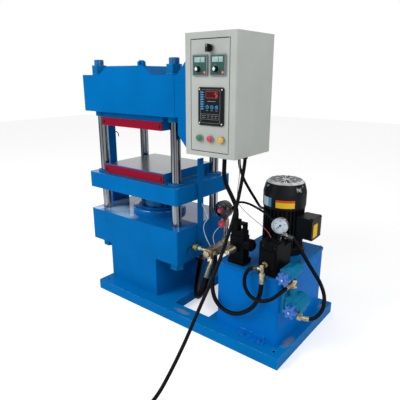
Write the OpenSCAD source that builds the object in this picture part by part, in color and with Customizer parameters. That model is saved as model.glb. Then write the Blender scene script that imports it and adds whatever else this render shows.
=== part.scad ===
// Column press for curing rubber in a heated mould: a hydraulic ram lifts a table and its lower platen
// against a fixed upper platen. Control cabinet and oil unit stand to the right, all on one skid.
// Millimetres; +X runs to the right, +Y to the back, +Z up. The origin is on the floor, at the centre
// of the four anchor holes.

/* [Skid] */
// Length of the skid, left to right
skid_l = 1060; // [1000:10:1200]
// Depth of the skid, front to back
skid_w = 536; // [520:2:620]
// Height of the skid tubes
rail_h = 50; // [40:1:80]
// Width of the skid tubes
rail_w = 72; // [60:1:80]
// Wall of the skid tubes
rail_wall = 5; // [3:0.5:8]
// Width of the cross tube beside the pedestal
deck_w = 120; // [90:1:140]
// Width of the open bay between press and tank
bay_w = 204; // [160:1:230]
// Diameter of the anchor holes
anchor_d = 14; // [10:1:20]

/* [Press frame] */
// Distance of the press centre to the left of the skid centre
press_offset = 330; // [310:1:350]
// Width of lower beam, table and crosshead
beam_w = 600; // [580:1:620]
// Depth of lower beam, table and crosshead
beam_d = 410; // [380:1:440]
// Width of the pedestal box
pedestal_w = 322; // [300:1:360]
// Height of the pedestal box
pedestal_h = 198; // [180:1:240]
// Plate of the pedestal box
pedestal_wall = 14; // [8:1:18]
// Height of the lower beam
lower_beam_h = 168; // [140:1:200]
// Clear height between lower beam and crosshead
column_gap = 507; // [495:1:560]
// Height of the crosshead's body
crosshead_h = 170; // [140:1:200]
// Height of the hump on the crosshead
hump_h = 37; // [20:1:50]
// Width of the hump at its flat top
hump_top_w = 236; // [180:1:260]
// Width of the hump at its foot
hump_foot_w = 340; // [300:1:360]
// Diameter of the tie columns
column_d = 46; // [40:1:50]
// Distance between columns, left to right
column_pitch_x = 490; // [480:1:500]
// Distance between columns, front to back
column_pitch_y = 285; // [260:1:310]
// Width across flats of the column nuts
nut_af = 60; // [56:1:66]
// Height of the column nuts
nut_h = 38; // [25:1:45]
// Thickness of the nut washers
washer_h = 6; // [4:0.5:8]
// Length of thread that stands out of the nuts
thread_out = 26; // [10:1:40]

/* [Ram and platens] */
// Diameter of the ram
ram_d = 190; // [160:1:195]
// Outer diameter of the cylinder barrel
barrel_d = 250; // [244:1:260]
// Diameter of the flange that rests on the lower beam
barrel_flange_d = 274; // [270:1:290]
// Height of the barrel flange
barrel_flange_h = 30; // [24:1:40]
// Length of the barrel below the beam's top
barrel_depth = 286; // [280:1:300]
// Height of the table
table_h = 79; // [60:1:95]
// Height of the table above the lower beam with the press open
table_lift = 120; // [100:1:124]
// Width of the platens
platen_w = 400; // [360:1:420]
// Depth of the platens
platen_d = 350; // [320:1:380]
// Thickness of the platens
platen_h = 43; // [38:1:48]
// Thickness of the lower insulation board
lower_board_h = 6; // [4:1:10]
// Thickness of the upper insulation board
upper_board_h = 22; // [14:1:26]
// Height of the red cover strips
strip_h = 38; // [30:1:38]
// Thickness of the red cover strips
strip_t = 8; // [4:1:10]
// Diameter of the heater rods
heater_d = 16; // [10:1:20]
// Number of heater rods in a platen
heater_count = 6; // [4:1:8]
// Outer diameter of the table bushes
bush_d = 60; // [56:1:64]
// Radial clearance of a running fit
run_gap = 0.05; // [0.02:0.01:0.08]

/* [Limit bars] */
// Thickness of the flat bars
bar_t = 8; // [5:1:10]
// Width of the right bar
right_bar_w = 36; // [30:1:44]
// Width of the left bar's upright
left_bar_w = 48; // [36:1:54]
// Width of the left bar's foot plate
left_foot_w = 120; // [100:1:140]
// Thickness of the spacers that hold the bars off the beams
spacer_t = 3; // [2:0.5:5]

/* [Control cabinet] */
// Width of the cabinet
cabinet_w = 231; // [226:1:250]
// Depth of the cabinet
cabinet_d = 251; // [230:1:270]
// Height of the cabinet
cabinet_h = 440; // [430:1:470]
// Sheet of the cabinet and its door
sheet_t = 2; // [1.5:0.5:2.5]
// Gap between crosshead and cabinet
cabinet_gap = 118; // [110:1:124]
// How far the cabinet's front stands before the crosshead
cabinet_lead = 73; // [60:1:90]
// How far the cabinet hangs below the crosshead's underside
cabinet_drop = 125; // [100:1:130]
// Width of the door
door_w = 169; // [167:1:171]
// Height of the door
door_h = 395; // [393:1:399]
// Depth of the door's folded edge
door_t = 16; // [14:1:18]
// Gap round the door
door_gap = 3; // [2.5:0.5:3.5]
// Diameter of the hinge pins
pin_d = 4; // [3.5:0.5:5]
// Width of the temperature controllers
meter_w = 67; // [64:1:69]
// Height of the temperature controllers
meter_h = 73; // [68:1:76]
// Distance between the temperature controllers
meter_pitch = 79; // [75:1:80]
// Width of the press timer
timer_w = 114; // [108:1:124]
// Height of the press timer
timer_h = 136; // [126:1:140]
// Distance between the push buttons
button_pitch = 49.5; // [46:0.5:52]
// Diameter of the push button caps
cap_d = 24; // [20:1:26]
// Travel of the push buttons
button_travel = 4; // [3:0.5:5]

/* [Oil unit] */
// Width of the oil tank
tank_w = 291; // [286:1:300]
// Depth of the oil tank
tank_d = 420; // [416:1:440]
// Height of the oil tank
tank_h = 281; // [270:1:300]
// Sheet of the oil tank
tank_wall = 4; // [3:0.5:6]
// Thickness of the tank lid
lid_h = 12; // [8:1:14]
// How far the lid stands over the tank
lid_over = 3; // [2:1:8]
// Diameter of the motor's fan cover
fan_cover_d = 187; // [180:1:190]
// Height of the motor above the lid
motor_h = 320; // [310:1:340]
// Diameter of the motor's core
motor_core_d = 150; // [144:1:156]
// Number of cooling fins on the motor
fin_count = 32; // [24:1:40]
// Diameter of the motor shaft
shaft_d = 24; // [20:1:28]
// Diameter of the pressure gauge
gauge_d = 66; // [60:1:70]
// Diameter of the contact gauge
contact_d = 84; // [80:1:100]
// Diameter of the valve's cable
valve_cable_d = 18; // [16:1:20]
// Diameter of the lobed handwheels
wheel_d = 54; // [48:1:58]
// Diameter of the pressed hose on the cylinder
ram_hose_d = 30; // [24:1:32]
// Diameter of the pressure hose
pressure_hose_d = 18; // [14:1:20]
// Diameter of the return hoses
return_hose_d = 15; // [12:1:16]

/* [Mains lead] */
// Diameter of the mains lead
lead_d = 14; // [10:1:14]
// Distance between neighbouring turns of the coil
coil_pitch = 14.6; // [14.6:0.1:16]
// Height between the two layers of the coil
coil_layer = 14.6; // [14.6:0.1:16]
// Radius of the coil's outer turn
coil_r = 84; // [80:1:90]
// Number of turns in the coil
coil_turns = 4.5; // [4.5:1:5.5]

/* [Hidden] */
$fn = 64;

// Colours
blue = "#0a6bb5";
teal = "#1576a8";
black = "#1b1c1e";
steel = "#a9adb2";
brass = "#b08d4c";
grey = "#c9cbc9";
red = "#a01c33";

// Heights of the press, from the skid upward
beam_z = rail_h + pedestal_h;
beam_top = beam_z + lower_beam_h;
table_z = beam_top + table_lift;
table_top = table_z + table_h;
lower_platen_z = table_top + lower_board_h;
head_z = beam_top + column_gap;
head_top = head_z + crosshead_h;
hump_top = head_top + hump_h;
upper_platen_z = head_z - upper_board_h - platen_h;
column_foot = beam_z - washer_h - nut_h - 4;
column_top = head_top + washer_h + nut_h + thread_out;

// Plan of the press
press_x = -press_offset;
left_x = press_x - beam_w / 2;
right_x = press_x + beam_w / 2;
front_y = -beam_d / 2;
edge_cut = 3;
bay_x0 = press_x + 271;
barrel_bottom = beam_top - barrel_depth;
port_z = barrel_bottom + 15;
port_turn = 37;
port_reach = pedestal_w / 2 / cos(port_turn) + 22;
flange_round = 9;

// Limit bars
right_bar_y = -44;
left_bar_y = -38;
bar_foot_z = beam_z + 45;

// Cabinet
cab_x = right_x + cabinet_gap;
cab_y = front_y - cabinet_lead;
cab_z = head_z - cabinet_drop;
door_x = cab_x + (cabinet_w - door_w) / 2;
door_z = cab_z + 20;
door_mid = door_x + door_w / 2;
pin_x = door_x + door_w - sheet_t - pin_d / 2 - 0.5;
pin_y = cab_y + sheet_t + pin_d / 2 + 0.5;
meter_mid = door_mid - 1;
timer_mid = door_mid + 9;
button_mid = door_mid + 7;
power_mid = door_mid + 2;
meter_z = door_z + 308;
timer_z = door_z + 165;
button_z = door_z + 48;
power_z = door_z + 365;
bezel_t = 6;
timer_t = 5;
meter_cut_w = meter_w - 6;
meter_cut_h = meter_h - 6;
setting_d = 18;
collar_d = cap_d + 5;
neck_d = 22;
stem_d = 12;

// Oil unit
tank_x = bay_x0 + bay_w + 50;
tank_y = front_y;
tank_right = tank_x + tank_w;
tank_top = rail_h + tank_h;
lid_top = tank_top + lid_h;
motor_x = tank_x + tank_w / 2;
motor_back = 125;
motor_y = tank_y + tank_d - motor_back;
motor_flange_d = fan_cover_d + 13;
shield_h = 18;
fan_cover_h = 108;
fan_cover_z = lid_top + motor_h - fan_cover_h;
cover_wall = 2;
rotor_gap = 23;
rotor_d = motor_core_d - 2 * rotor_gap;
spigot_d = 80;
shaft_tail = 40;
shaft_end = 62;
fan_d = 150;
fan_hub_d = 46;
fan_h = 44;
shoulder_h = 50;
shoulder_in = 23;
box_seat = fan_cover_d / 2 - 8;
box_z = 85;
box_w = 90;
box_h = 92;
box_t = 56;
pump_w = 90;
pump_h = 120;
foot_l = 120;

// Valves on the lid
valve_x = tank_x + 45;
valve_w = 65;
valve_y = tank_y + 25;
valve_depth = 46;
valve_h = 144;
boss_x = valve_x + 28;
boss_y = valve_y - 18;
boss_z = lid_top + 71;
relief_x = tank_right - 98;
relief_w = 76;
relief_y = tank_y + 10;
relief_depth = 58;
relief_top = lid_top + 135;
pilot_top = relief_top - 23;
relief_mid = relief_x + relief_w / 2;
tee = [relief_mid - 4, relief_y - 30, lid_top + 49];

// Gauges
gauge = [relief_mid, relief_y + 92, relief_top + 14 + gauge_d / 2];
gauge_turn = 12;
gauge_depth = 28;
manifold_x = right_x + 105;
stand_y = 20;
shutoff_z = 424;
shutoff_d = 33;
contact = [manifold_x, stand_y - 24, shutoff_z + 27 + contact_d / 2];
contact_depth = 34;

// Hand valves on the right of the tank
upper_wheel = [tank_right + 24, tank_y - 17, lid_top + 21];
lower_wheel = [tank_right + 59, tank_y - 17, tank_top - 90];
riser = [tank_right + 29, tank_y + 62, tank_top - 31];
outlet = [lower_wheel.x + 21, tank_y + 12, lower_wheel.z - 24];
wheel_t = 16;

// Brass manifold between press and tank
manifold_y0 = -115;
manifold_y1 = 35;
manifold_z0 = 290;
manifold_z1 = 330;
supply_y = -82;

// Routes, from the outlet onward
ram_hose_route = [[83, -109, 238], [83, -121, 217], [81, -136, 184], [74, -146, 148], [58, -147, 114],
    [34, -134, 89], [5, -106, 75], [-26, -68, 71], [-57, -26, 74], [-87, 18, 85], [-113, 60, 102],
    [-134, 98, 123], [-151, 135, 145]];
pressure_hose_route = [[422, -225, 352], [422, -227, 318], [415, -229, 262], [386, -232, 204],
    [340, -233, 163], [290, -232, 143], [240, -230, 147], [203, -226, 172], [177, -212, 206],
    [158, -186, 242], [142, -154, 274], [122, -118, 298], [95, -88, 312]];
elbow_hose_route = [[515, -188, 322], [515, -208, 321], [504, -234, 308], [476, -249, 280], [435, -253, 261],
    [392, -249, 262], [360, -242, 286], [349, -234, 320], [356, -228, 352], [375, -226, 372],
    [400, -225, 378]];
side_hose_route = [[462, -103, 486], [481, -103, 483], [502, -102, 464], [526, -99, 430], [551, -95, 393],
    [577, -89, 355], [600, -84, 320], [624, -96, 278], [635, -129, 243], [625, -168, 221], [606, -187, 217],
    [588, -193, 217]];
valve_cable_route = [[178, -140, 808], [178, -140, 770], [177, -140, 732], [177, -140, 702], [184, -140, 672],
    [198, -140, 645], [218, -142, 616], [240, -148, 586], [252, -154, 556], [254, -157, 529]];
motor_cable_route = [[219, -95, 808], [219, -95, 770], [222, -92, 730], [233, -78, 680], [245, -48, 628],
    [248, -2, 576], [239, 42, 540], [228, 92, 510], [238, 152, 488], [284, 200, 474], [350, 216, 468],
    [414, 202, 472], [448, 172, 480], [460, 137, 482]];
gauge_cable_route = [[119, 14, 500], [132, 11, 520], [150, 4, 539], [186, -11, 553], [226, -23, 557],
    [268, -36, 554], [310, -49, 547], [345, -60, 539], [374, -72, 525], [392, -81, 508], [401, -84, 489]];
bar_wire_route = [[-19, -44, 527], [-6, -52, 514], [22, -62, 488], [36, -66, 458], [20, -68, 432],
    [18, -72, 404], [40, -78, 364], [60, -80, 340], [62, -80, 330]];
capillary_route = [[66, 8, 414], [58, -6, 402], [48, -22, 384], [46, -34, 364], [56, -44, 344],
    [65, -47, 329]];
gauge_wire_route = [[236, -118, 808], [236, -118, 770], [233, -112, 700], [218, -100, 620], [220, -92, 575],
    [246, -88, 547], [284, -90, 525], [332, -98, 506], [374, -112, 490], [396, -122, 474], [404, -124, 462],
    [405, -124, 453]];
sensor_wire_route = [[-14, -106, 320], [-24, -116, 319], [-20, -146, 310], [2, -152, 288], [28, -130, 268],
    [48, -98, 264], [58, -74, 274], [60, -66, 290]];
lead_route = [[275, -140, 808], [275, -140, 770], [275, -149, 726], [275, -176, 637], [275, -212, 549],
    [275, -256, 474], [275, -302, 402], [275, -354, 334], [275, -404, 279], [275, -460, 214],
    [275, -508, 158], [275, -562, 103], [275, -612, 58], [275, -650, 29], [275, -690, 11], [275, -728, 7], [276, -764, 7],
    [276, -800, 7]];
coil_centre = [276 + coil_r, -800];

// Points on a smooth curve through a route, with the given number of steps in each span
function spline(a, b, c, d, t) =
    0.5 * (2 * b + (c - a) * t + (2 * a - 5 * b + 4 * c - d) * t * t + (3 * b - a - 3 * c + d) * t * t * t);
function smooth(p, steps) = [
    for (i = [0:len(p) - 2], k = [0:steps - 1])
        spline(p[max(i - 1, 0)], p[i], p[i + 1], p[min(i + 2, len(p) - 1)], k / steps),
    p[len(p) - 1]];

// Directions along a path, and a side vector carried along it without twist
function unit(v) = v / norm(v);
function headings(p) = [for (i = [0:len(p) - 1]) unit(p[min(i + 1, len(p) - 1)] - p[max(i - 1, 0)])];
function side_of(t) = unit(cross(t, abs(t.z) < 0.8 ? [0, 0, 1] : [0, 1, 0]));
function sides_along(t) = [
    for (i = 0, n = side_of(t[0]);
        i < len(t);
        i = i + 1, n = i < len(t) ? unit(n - t[i] * (n * t[i])) : n)
        n];

// Closed tube of the given diameter along a path of points
module tube(path, d, sides = 8) {
    t = headings(path);
    n = sides_along(t);
    rings = len(path);
    points = [
        for (i = [0:rings - 1], k = [0:sides - 1])
            path[i] + (n[i] * cos(360 * k / sides) + cross(t[i], n[i]) * sin(360 * k / sides)) * d / 2];
    walls = [
        for (i = [0:rings - 2], k = [0:sides - 1])
            let (a = i * sides + k, b = i * sides + (k + 1) % sides)
            each [[a, a + sides, b], [b, a + sides, b + sides]]];
    first = [for (k = [1:sides - 2]) [0, k, k + 1]];
    end = (rings - 1) * sides;
    last = [for (k = [1:sides - 2]) [end, end + k + 1, end + k]];
    polyhedron(points, concat(walls, first, last), convexity = 10);
}

// Box between two corners
module slab(lo, hi) {
    translate(lo) cube(hi - lo);
}

// Round bars from a point along +X, +Y and +Z
module bar_x(p, d, l) {
    translate(p) rotate([0, 90, 0]) cylinder(d = d, h = l);
}
module bar_y(p, d, l) {
    translate(p) rotate([-90, 0, 0]) cylinder(d = d, h = l);
}
module bar_z(p, d, l) {
    translate(p) cylinder(d = d, h = l);
}

// Round bar or cone from one point to another
module rod(p, q, d1, d2) {
    v = q - p;
    translate(p) rotate([0, acos(v.z / norm(v)), atan2(v.y, v.x)]) cylinder(d1 = d1, d2 = d2, h = norm(v));
}

// Rectangle about the origin with its corners cut off
module cut_plan(w, d, cut) {
    polygon([
        [-w / 2 + cut, -d / 2], [w / 2 - cut, -d / 2], [w / 2, -d / 2 + cut], [w / 2, d / 2 - cut],
        [w / 2 - cut, d / 2], [-w / 2 + cut, d / 2], [-w / 2, d / 2 - cut], [-w / 2, -d / 2 + cut]]);
}

// Rectangle about the origin with round corners
module round_plan(w, d, r) {
    square([w - 2 * r, d], center = true);
    square([w, d - 2 * r], center = true);
    for (sx = [-1, 1], sy = [-1, 1])
        translate([sx * (w / 2 - r), sy * (d / 2 - r)]) intersection() {
            circle(r = r, $fn = 48);
            translate([sx * r, sy * r]) square(2 * r + 2, center = true);
        }
}

// Hexagonal bar standing on a point
module hex_z(p, af, h) {
    translate(p) cylinder(d = af / cos(30), h = h, $fn = 6);
}

// Places a thing along the cylinder's oil port, which looks to the right and the back
module at_port() {
    translate([press_x, 0, port_z]) rotate([0, 0, port_turn]) children();
}

// The same thing at each of the four columns
module at_columns() {
    for (sx = [-1, 1], sy = [-1, 1])
        translate([press_x + sx * column_pitch_x / 2, sy * column_pitch_y / 2, 0]) children();
}

// Plan of the skid, drawn in by the given amount on every side
module skid_plan(inset) {
    difference() {
        square([skid_l - 2 * inset, skid_w - 2 * inset], center = true);
        skid_bay(-skid_l / 2 + rail_w, bay_x0 - deck_w, inset);
        skid_bay(bay_x0, bay_x0 + bay_w, inset);
        skid_bay(bay_x0 + bay_w + rail_w, skid_l / 2 - rail_w, inset);
    }
}

// One open bay of the skid
module skid_bay(x0, x1, inset) {
    half = skid_w / 2 - rail_w + inset;
    translate([x0 - inset, -half]) square([x1 - x0 + 2 * inset, 2 * half]);
}

module skid_frame() color(blue) difference() {
    linear_extrude(rail_h) skid_plan(0);
    translate([0, 0, rail_wall]) linear_extrude(rail_h - 2 * rail_wall) skid_plan(rail_wall);
    for (sx = [-1, 1], sy = [-1, 1])
        bar_z([sx * (skid_l - rail_w) / 2, sy * (skid_w - rail_w) / 2, -1], anchor_d, rail_h + 2);
}

module pedestal() color(blue) difference() {
    slab([press_x - pedestal_w / 2, front_y, rail_h], [press_x + pedestal_w / 2, -front_y, beam_z]);
    slab([press_x - pedestal_w / 2 + pedestal_wall, front_y + pedestal_wall, rail_h + 12],
        [press_x + pedestal_w / 2 - pedestal_wall, -front_y - pedestal_wall, beam_z + 1]);
    at_port() bar_x([0, 0, 0], 44, pedestal_w);
}

module lower_beam() color(blue) difference() {
    translate([press_x, 0, beam_z]) linear_extrude(lower_beam_h) cut_plan(beam_w, beam_d, edge_cut);
    bar_z([press_x, 0, beam_z - 1], barrel_d + 2 * run_gap, lower_beam_h + 2);
    at_columns() bar_z([0, 0, beam_z - 1], column_d + 2 * run_gap, lower_beam_h + 2);
}

// Barrel with a closed bottom, a flange on the beam and a recess for the gland
module cylinder_barrel() color(blue) difference() {
    translate([press_x, 0, 0]) rotate_extrude($fn = 96) polygon([
        [0, barrel_bottom],
        [barrel_d / 2 - 6, barrel_bottom],
        [barrel_d / 2, barrel_bottom + 6],
        [barrel_d / 2, beam_top],
        [barrel_flange_d / 2, beam_top],
        for (a = [0:15:90])
            [barrel_flange_d / 2 - flange_round * (1 - cos(a)),
                beam_top + barrel_flange_h - flange_round * (1 - sin(a))],
        [gland_d / 2 + run_gap, beam_top + barrel_flange_h],
        [gland_d / 2 + run_gap, beam_top + barrel_flange_h - gland_seat],
        [ram_d / 2 + 5, beam_top + barrel_flange_h - gland_seat],
        [ram_d / 2 + 5, barrel_bottom + 30],
        [0, barrel_bottom + 30]]);
    at_port() bar_x([ram_d / 2, 0, 0], 14, barrel_d);
    at_port() bar_z([ram_d / 2 - 6, 0, 0], 12, 30);
}
gland_d = ram_d + 40;
gland_seat = 14;

module gland_ring() color(steel) translate([press_x, 0, beam_top + barrel_flange_h - gland_seat])
    difference() {
        union() {
            cylinder(d = gland_d, h = gland_seat, $fn = 96);
            cylinder(d = gland_d - 16, h = gland_seat + 6, $fn = 96);
        }
        translate([0, 0, -1]) cylinder(d = ram_d + 2 * run_gap, h = gland_seat + 8, $fn = 96);
    }

module tie_columns() color(steel) at_columns() union() {
    bar_z([0, 0, column_foot + 3], column_d, column_top - column_foot - 6);
    translate([0, 0, column_foot]) cylinder(d1 = column_d - 6, d2 = column_d, h = 3);
    translate([0, 0, column_top - 3]) cylinder(d1 = column_d, d2 = column_d - 6, h = 3);
}

// Washer and hexagon nut, bored for the column
module column_nut(z, washer_first) {
    washer_z = washer_first ? z : z + nut_h;
    nut_z = washer_first ? z + washer_h : z;
    difference() {
        bar_z([0, 0, washer_z], nut_af + 10, washer_h);
        bar_z([0, 0, washer_z - 1], column_d + 2 * run_gap, washer_h + 2);
    }
    difference() {
        hex_z([0, 0, nut_z], nut_af, nut_h);
        bar_z([0, 0, nut_z - 1], column_d + 2 * run_gap, nut_h + 2);
    }
}

module column_nuts() color(blue) at_columns() {
    column_nut(head_top, true);
    column_nut(beam_z - washer_h - nut_h, false);
    difference() {
        bar_z([0, 0, head_z - 26], nut_af + 2, 26);
        bar_z([0, 0, head_z - 27], column_d + 2 * run_gap, 28);
    }
}

// Lifting lug with a round head, standing across the press
module lifting_lug(x, y) {
    translate([x, y + 8, hump_top]) rotate([90, 0, 0]) linear_extrude(16) difference() {
        union() {
            translate([0, 8]) circle(d = 32);
            translate([-16, -1]) square([32, 9]);
        }
        translate([0, 10]) circle(d = 15);
    }
}

module crosshead() color(blue) union() {
    difference() {
        translate([press_x, 0, head_z]) linear_extrude(crosshead_h) cut_plan(beam_w, beam_d, edge_cut);
        at_columns() bar_z([0, 0, head_z - 1], column_d + 2 * run_gap, crosshead_h + 2);
    }
    translate([press_x, -front_y, head_top]) rotate([90, 0, 0]) linear_extrude(beam_d) polygon([
        [-hump_foot_w / 2, -1],
        [-hump_foot_w / 2, 0],
        [-hump_top_w / 2, hump_h],
        [hump_top_w / 2, hump_h],
        [hump_foot_w / 2, 0],
        [hump_foot_w / 2, -1]]);
    for (sy = [-1, 1])
        lifting_lug(press_x + hump_top_w / 2 - 18, sy * (beam_d / 2 - 15));
}

// Board or plate of the platens' plan, from one height upward
module platen_plate(z, h) {
    translate([press_x - platen_w / 2, -platen_d / 2, z]) cube([platen_w, platen_d, h]);
}

// The heater rods of a platen, drawn at the given diameter
module heater_rods(z, d, l) {
    pitch = platen_w / heater_count;
    for (i = [0:heater_count - 1])
        bar_y([press_x - platen_w / 2 + (i + 0.5) * pitch, -l / 2, z + platen_h / 2], d, l);
}

module heated_platen(z) difference() {
    platen_plate(z, platen_h);
    heater_rods(z, heater_d + 2 * run_gap, platen_d + 2);
}

// Cover strips over the heater ends, front and back
module cover_strips(z) {
    for (y = [-platen_d / 2 - strip_t, platen_d / 2])
        translate([press_x - platen_w / 2, y, z]) cube([platen_w, strip_t, strip_h]);
}

module upper_insulation() color(blue) platen_plate(head_z - upper_board_h, upper_board_h);

module upper_platen() color(steel) heated_platen(upper_platen_z);

module upper_strips() color(red) cover_strips(upper_platen_z);

module upper_heaters() color(steel) heater_rods(upper_platen_z, heater_d, platen_d);

// Flat bar on the side of the frame, with spacers to the beams; outward is +1 on the right, -1 on the left
module side_plate(x, outward, outline) {
    translate([x + outward * (spacer_t + bar_t / 2) - bar_t / 2, 0, 0])
        rotate([90, 0, 90]) linear_extrude(bar_t) polygon(outline);
}

module bar_spacer(x, outward, y, z) {
    bar_x([outward > 0 ? x : x - spacer_t, y, z], 22, spacer_t);
    bar_x([outward > 0 ? x + spacer_t + bar_t : x - spacer_t - bar_t - 7, y, z], 14, 7);
}

module limit_bars() color(blue) {
    half = right_bar_w / 2;
    right_top = table_top + 115;
    side_plate(right_x, 1, [
        [right_bar_y - half, bar_foot_z],
        [right_bar_y + half, bar_foot_z],
        [right_bar_y + half, right_top],
        [right_bar_y - half, right_top]]);
    for (z = [bar_foot_z + 25, beam_top - 25])
        bar_spacer(right_x, 1, right_bar_y, z);
    left_half = left_bar_w / 2;
    side_plate(left_x, -1, [
        [-left_foot_w / 2, bar_foot_z],
        [left_foot_w / 2, bar_foot_z],
        [left_foot_w / 2, table_z + 10],
        [left_bar_y + left_half, table_z + 44],
        [left_bar_y + left_half, head_z + 60],
        [left_bar_y - left_half, head_z + 60],
        [left_bar_y - left_half, table_z + 30],
        [-left_foot_w / 2, table_z + 10]]);
    for (y = [-40, 40])
        bar_spacer(left_x, -1, y, beam_top - 60);
    bar_spacer(left_x, -1, left_bar_y, head_z + 30);
}

// Two gussets between a plate on the crosshead and a plate on the cabinet
module cabinet_bracket() color(blue) union() {
    root_t = 16;
    plate_t = 8;
    back_y = cab_y + cabinet_d - 30;
    slab([right_x, front_y, head_z + 2], [right_x + root_t, back_y, head_top]);
    slab([cab_x - plate_t, front_y, cab_z + 2], [cab_x, back_y, cab_z + 352]);
    for (y = [front_y, back_y - plate_t])
        translate([0, y + plate_t, 0]) rotate([90, 0, 0]) linear_extrude(plate_t) polygon([
            [right_x + root_t - 1, head_z - 69],
            [right_x + root_t + 48, cab_z + 2],
            [cab_x - 1, cab_z + 2],
            [cab_x - 1, cab_z + 352],
            [right_x + root_t + 48, cab_z + 352],
            [right_x + root_t - 1, head_top + 3]]);
}

module ram() color(steel)
    bar_z([press_x, 0, barrel_bottom + 35], ram_d, table_z - barrel_bottom - 35, $fn = 96);

// Moving table with small corner cuts, bored for its bushes. The round bosses about the bushes stand out
// of the sides only where the table is drawn narrow.
module table() color(blue) difference() {
    translate([0, 0, table_z]) linear_extrude(table_h) union() {
        translate([press_x, 0]) cut_plan(beam_w, beam_d, 8);
        for (sx = [-1, 1], sy = [-1, 1])
            translate([press_x + sx * column_pitch_x / 2, sy * column_pitch_y / 2]) circle(d = bush_d + 20);
    }
    at_columns() bar_z([0, 0, table_z - 1], bush_d, table_h + 2);
}

module table_bushes() color(brass) at_columns() difference() {
    union() {
        bar_z([0, 0, table_z], bush_d - 2 * run_gap, table_h);
        bar_z([0, 0, table_top], bush_d + 14, 8);
    }
    bar_z([0, 0, table_z - 1], column_d + 2 * run_gap, table_h + 10);
}

module lower_insulation() color("#d8d4c4") platen_plate(table_top, lower_board_h);

module lower_platen() color(steel) heated_platen(lower_platen_z);

module lower_strips() color(red) cover_strips(lower_platen_z);

module lower_heaters() color(steel) heater_rods(lower_platen_z, heater_d, platen_d);

// Folded sheet box; the door's opening has a lip turned inward that holds the hinge pins
module cabinet_box() color(grey) difference() {
    lip_t = 12;
    fold_r = 6;
    open_lo = [door_x - door_gap, cab_y, door_z - door_gap];
    open_hi = [door_x + door_w + door_gap, cab_y, door_z + door_h + door_gap];
    union() {
        translate([cab_x + cabinet_w / 2, cab_y + cabinet_d / 2, cab_z]) difference() {
            linear_extrude(cabinet_h) round_plan(cabinet_w, cabinet_d, fold_r);
            translate([0, 0, sheet_t]) linear_extrude(cabinet_h - 2 * sheet_t)
                round_plan(cabinet_w - 2 * sheet_t, cabinet_d - 2 * sheet_t, fold_r - sheet_t);
        }
        slab(open_lo - [sheet_t, 0, sheet_t], open_hi + [sheet_t, lip_t, sheet_t]);
    }
    slab(open_lo - [0, 1, 0], open_hi + [0, lip_t + 1, 0]);
    bar_z([pin_x, pin_y, door_z - 10], pin_d + 2 * run_gap, door_h + 20);
    for (p = gland_places)
        bar_z([p.x, p.y, cab_z - 1], gland_hole(p), sheet_t + 2);
}

// Places of the glands in plan, each with the diameter of its cord
gland_places = [[275, -140, lead_d], [178, -140, valve_cable_d], [219, -95, 12], [236, -118, 3]];
function gland_hole(p) = p.z > 15 ? 24 : 16;

// Mounting plate on the back wall with contactors, a breaker, terminals and a rail
module electrical_panel() color("#d9d9d4") union() {
    back = cab_y + cabinet_d - sheet_t;
    mid = cab_x + cabinet_w / 2;
    plate_y = back - 14;
    slab([mid - 95, plate_y, cab_z + 40], [mid + 95, plate_y + 3, cab_z + cabinet_h - 40]);
    for (sx = [-1, 1], z = [cab_z + 60, cab_z + cabinet_h - 60])
        bar_y([mid + sx * 80, plate_y + 2, z], 12, back - plate_y - 2);
    for (i = [0:2])
        translate([mid - 82 + i * 58, plate_y - 62, cab_z + 190]) cube([45, 63, 78]);
    slab([mid - 82, plate_y - 58, cab_z + 310], [mid - 28, plate_y + 1, cab_z + 392]);
    for (i = [0:9])
        translate([mid - 80 + i * 16, plate_y - 34, cab_z + 80]) cube([14, 35, 50]);
}

// Pins through the lip of the cabinet and the folded edge of the door
module hinge_pins() color(steel) for (z = [door_z - 8, door_z + door_h - 8])
    bar_z([pin_x, pin_y, z], pin_d, 16);

// Nylon glands under the cabinet, each a cap with a domed nut
module cable_glands() color(black) for (p = gland_places) {
    wide = gland_hole(p) + 8;
    translate([p.x, p.y, cab_z]) difference() {
        union() {
            translate([0, 0, -8]) cylinder(d = wide / cos(30), h = 8, $fn = 6);
            translate([0, 0, -20]) cylinder(d1 = wide - 4, d2 = wide, h = 12);
            translate([0, 0, -1]) cylinder(d = gland_hole(p) - 0.2, h = sheet_t + 9);
        }
        translate([0, 0, -30]) cylinder(d = p.z - 0.3, h = 60);
    }
}

// Pan door with folded edges, cut for its instruments and hinge pins
module cabinet_door() color(grey) difference() {
    lo = [door_x, cab_y, door_z];
    hi = [door_x + door_w, cab_y + door_t, door_z + door_h];
    slab(lo, hi);
    slab(lo + [sheet_t, sheet_t, sheet_t], hi + [-sheet_t, 1, -sheet_t]);
    for (sx = [-1, 1])
        panel_hole(meter_mid + sx * meter_pitch / 2, meter_z, meter_cut_w + 0.6, meter_cut_h + 0.6);
    panel_hole(timer_mid, timer_z, timer_w - 9.4, timer_h - 9.4);
    for (i = [-1, 0, 1])
        bar_y([button_mid + i * button_pitch, cab_y - 1, button_z], neck_d + 0.4, door_t);
    bar_y([power_mid, cab_y - 1, power_z], neck_d + 0.4, door_t);
    bar_z([pin_x, pin_y, door_z - 1], pin_d + 2 * run_gap, door_h + 2);
}

// Rectangular hole through the door, about a centre
module panel_hole(x, z, w, h) {
    translate([x - w / 2, cab_y - 1, z - h / 2]) cube([w, door_t, h]);
}

// Flat bezel on the door with a body behind it; the setting knob's spindle stands out of the face
module temperature_controllers() color("#2c6b57") for (sx = [-1, 1])
    translate([meter_mid + sx * meter_pitch / 2, cab_y, meter_z]) union() {
        rotate([90, 0, 0]) linear_extrude(bezel_t) round_plan(meter_w, meter_h, 4);
        translate([-meter_cut_w / 2, -1, -meter_cut_h / 2]) cube([meter_cut_w, 53, meter_cut_h]);
        bar_y([-7, -bezel_t - 6, -13], 6, 7);
    }

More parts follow.
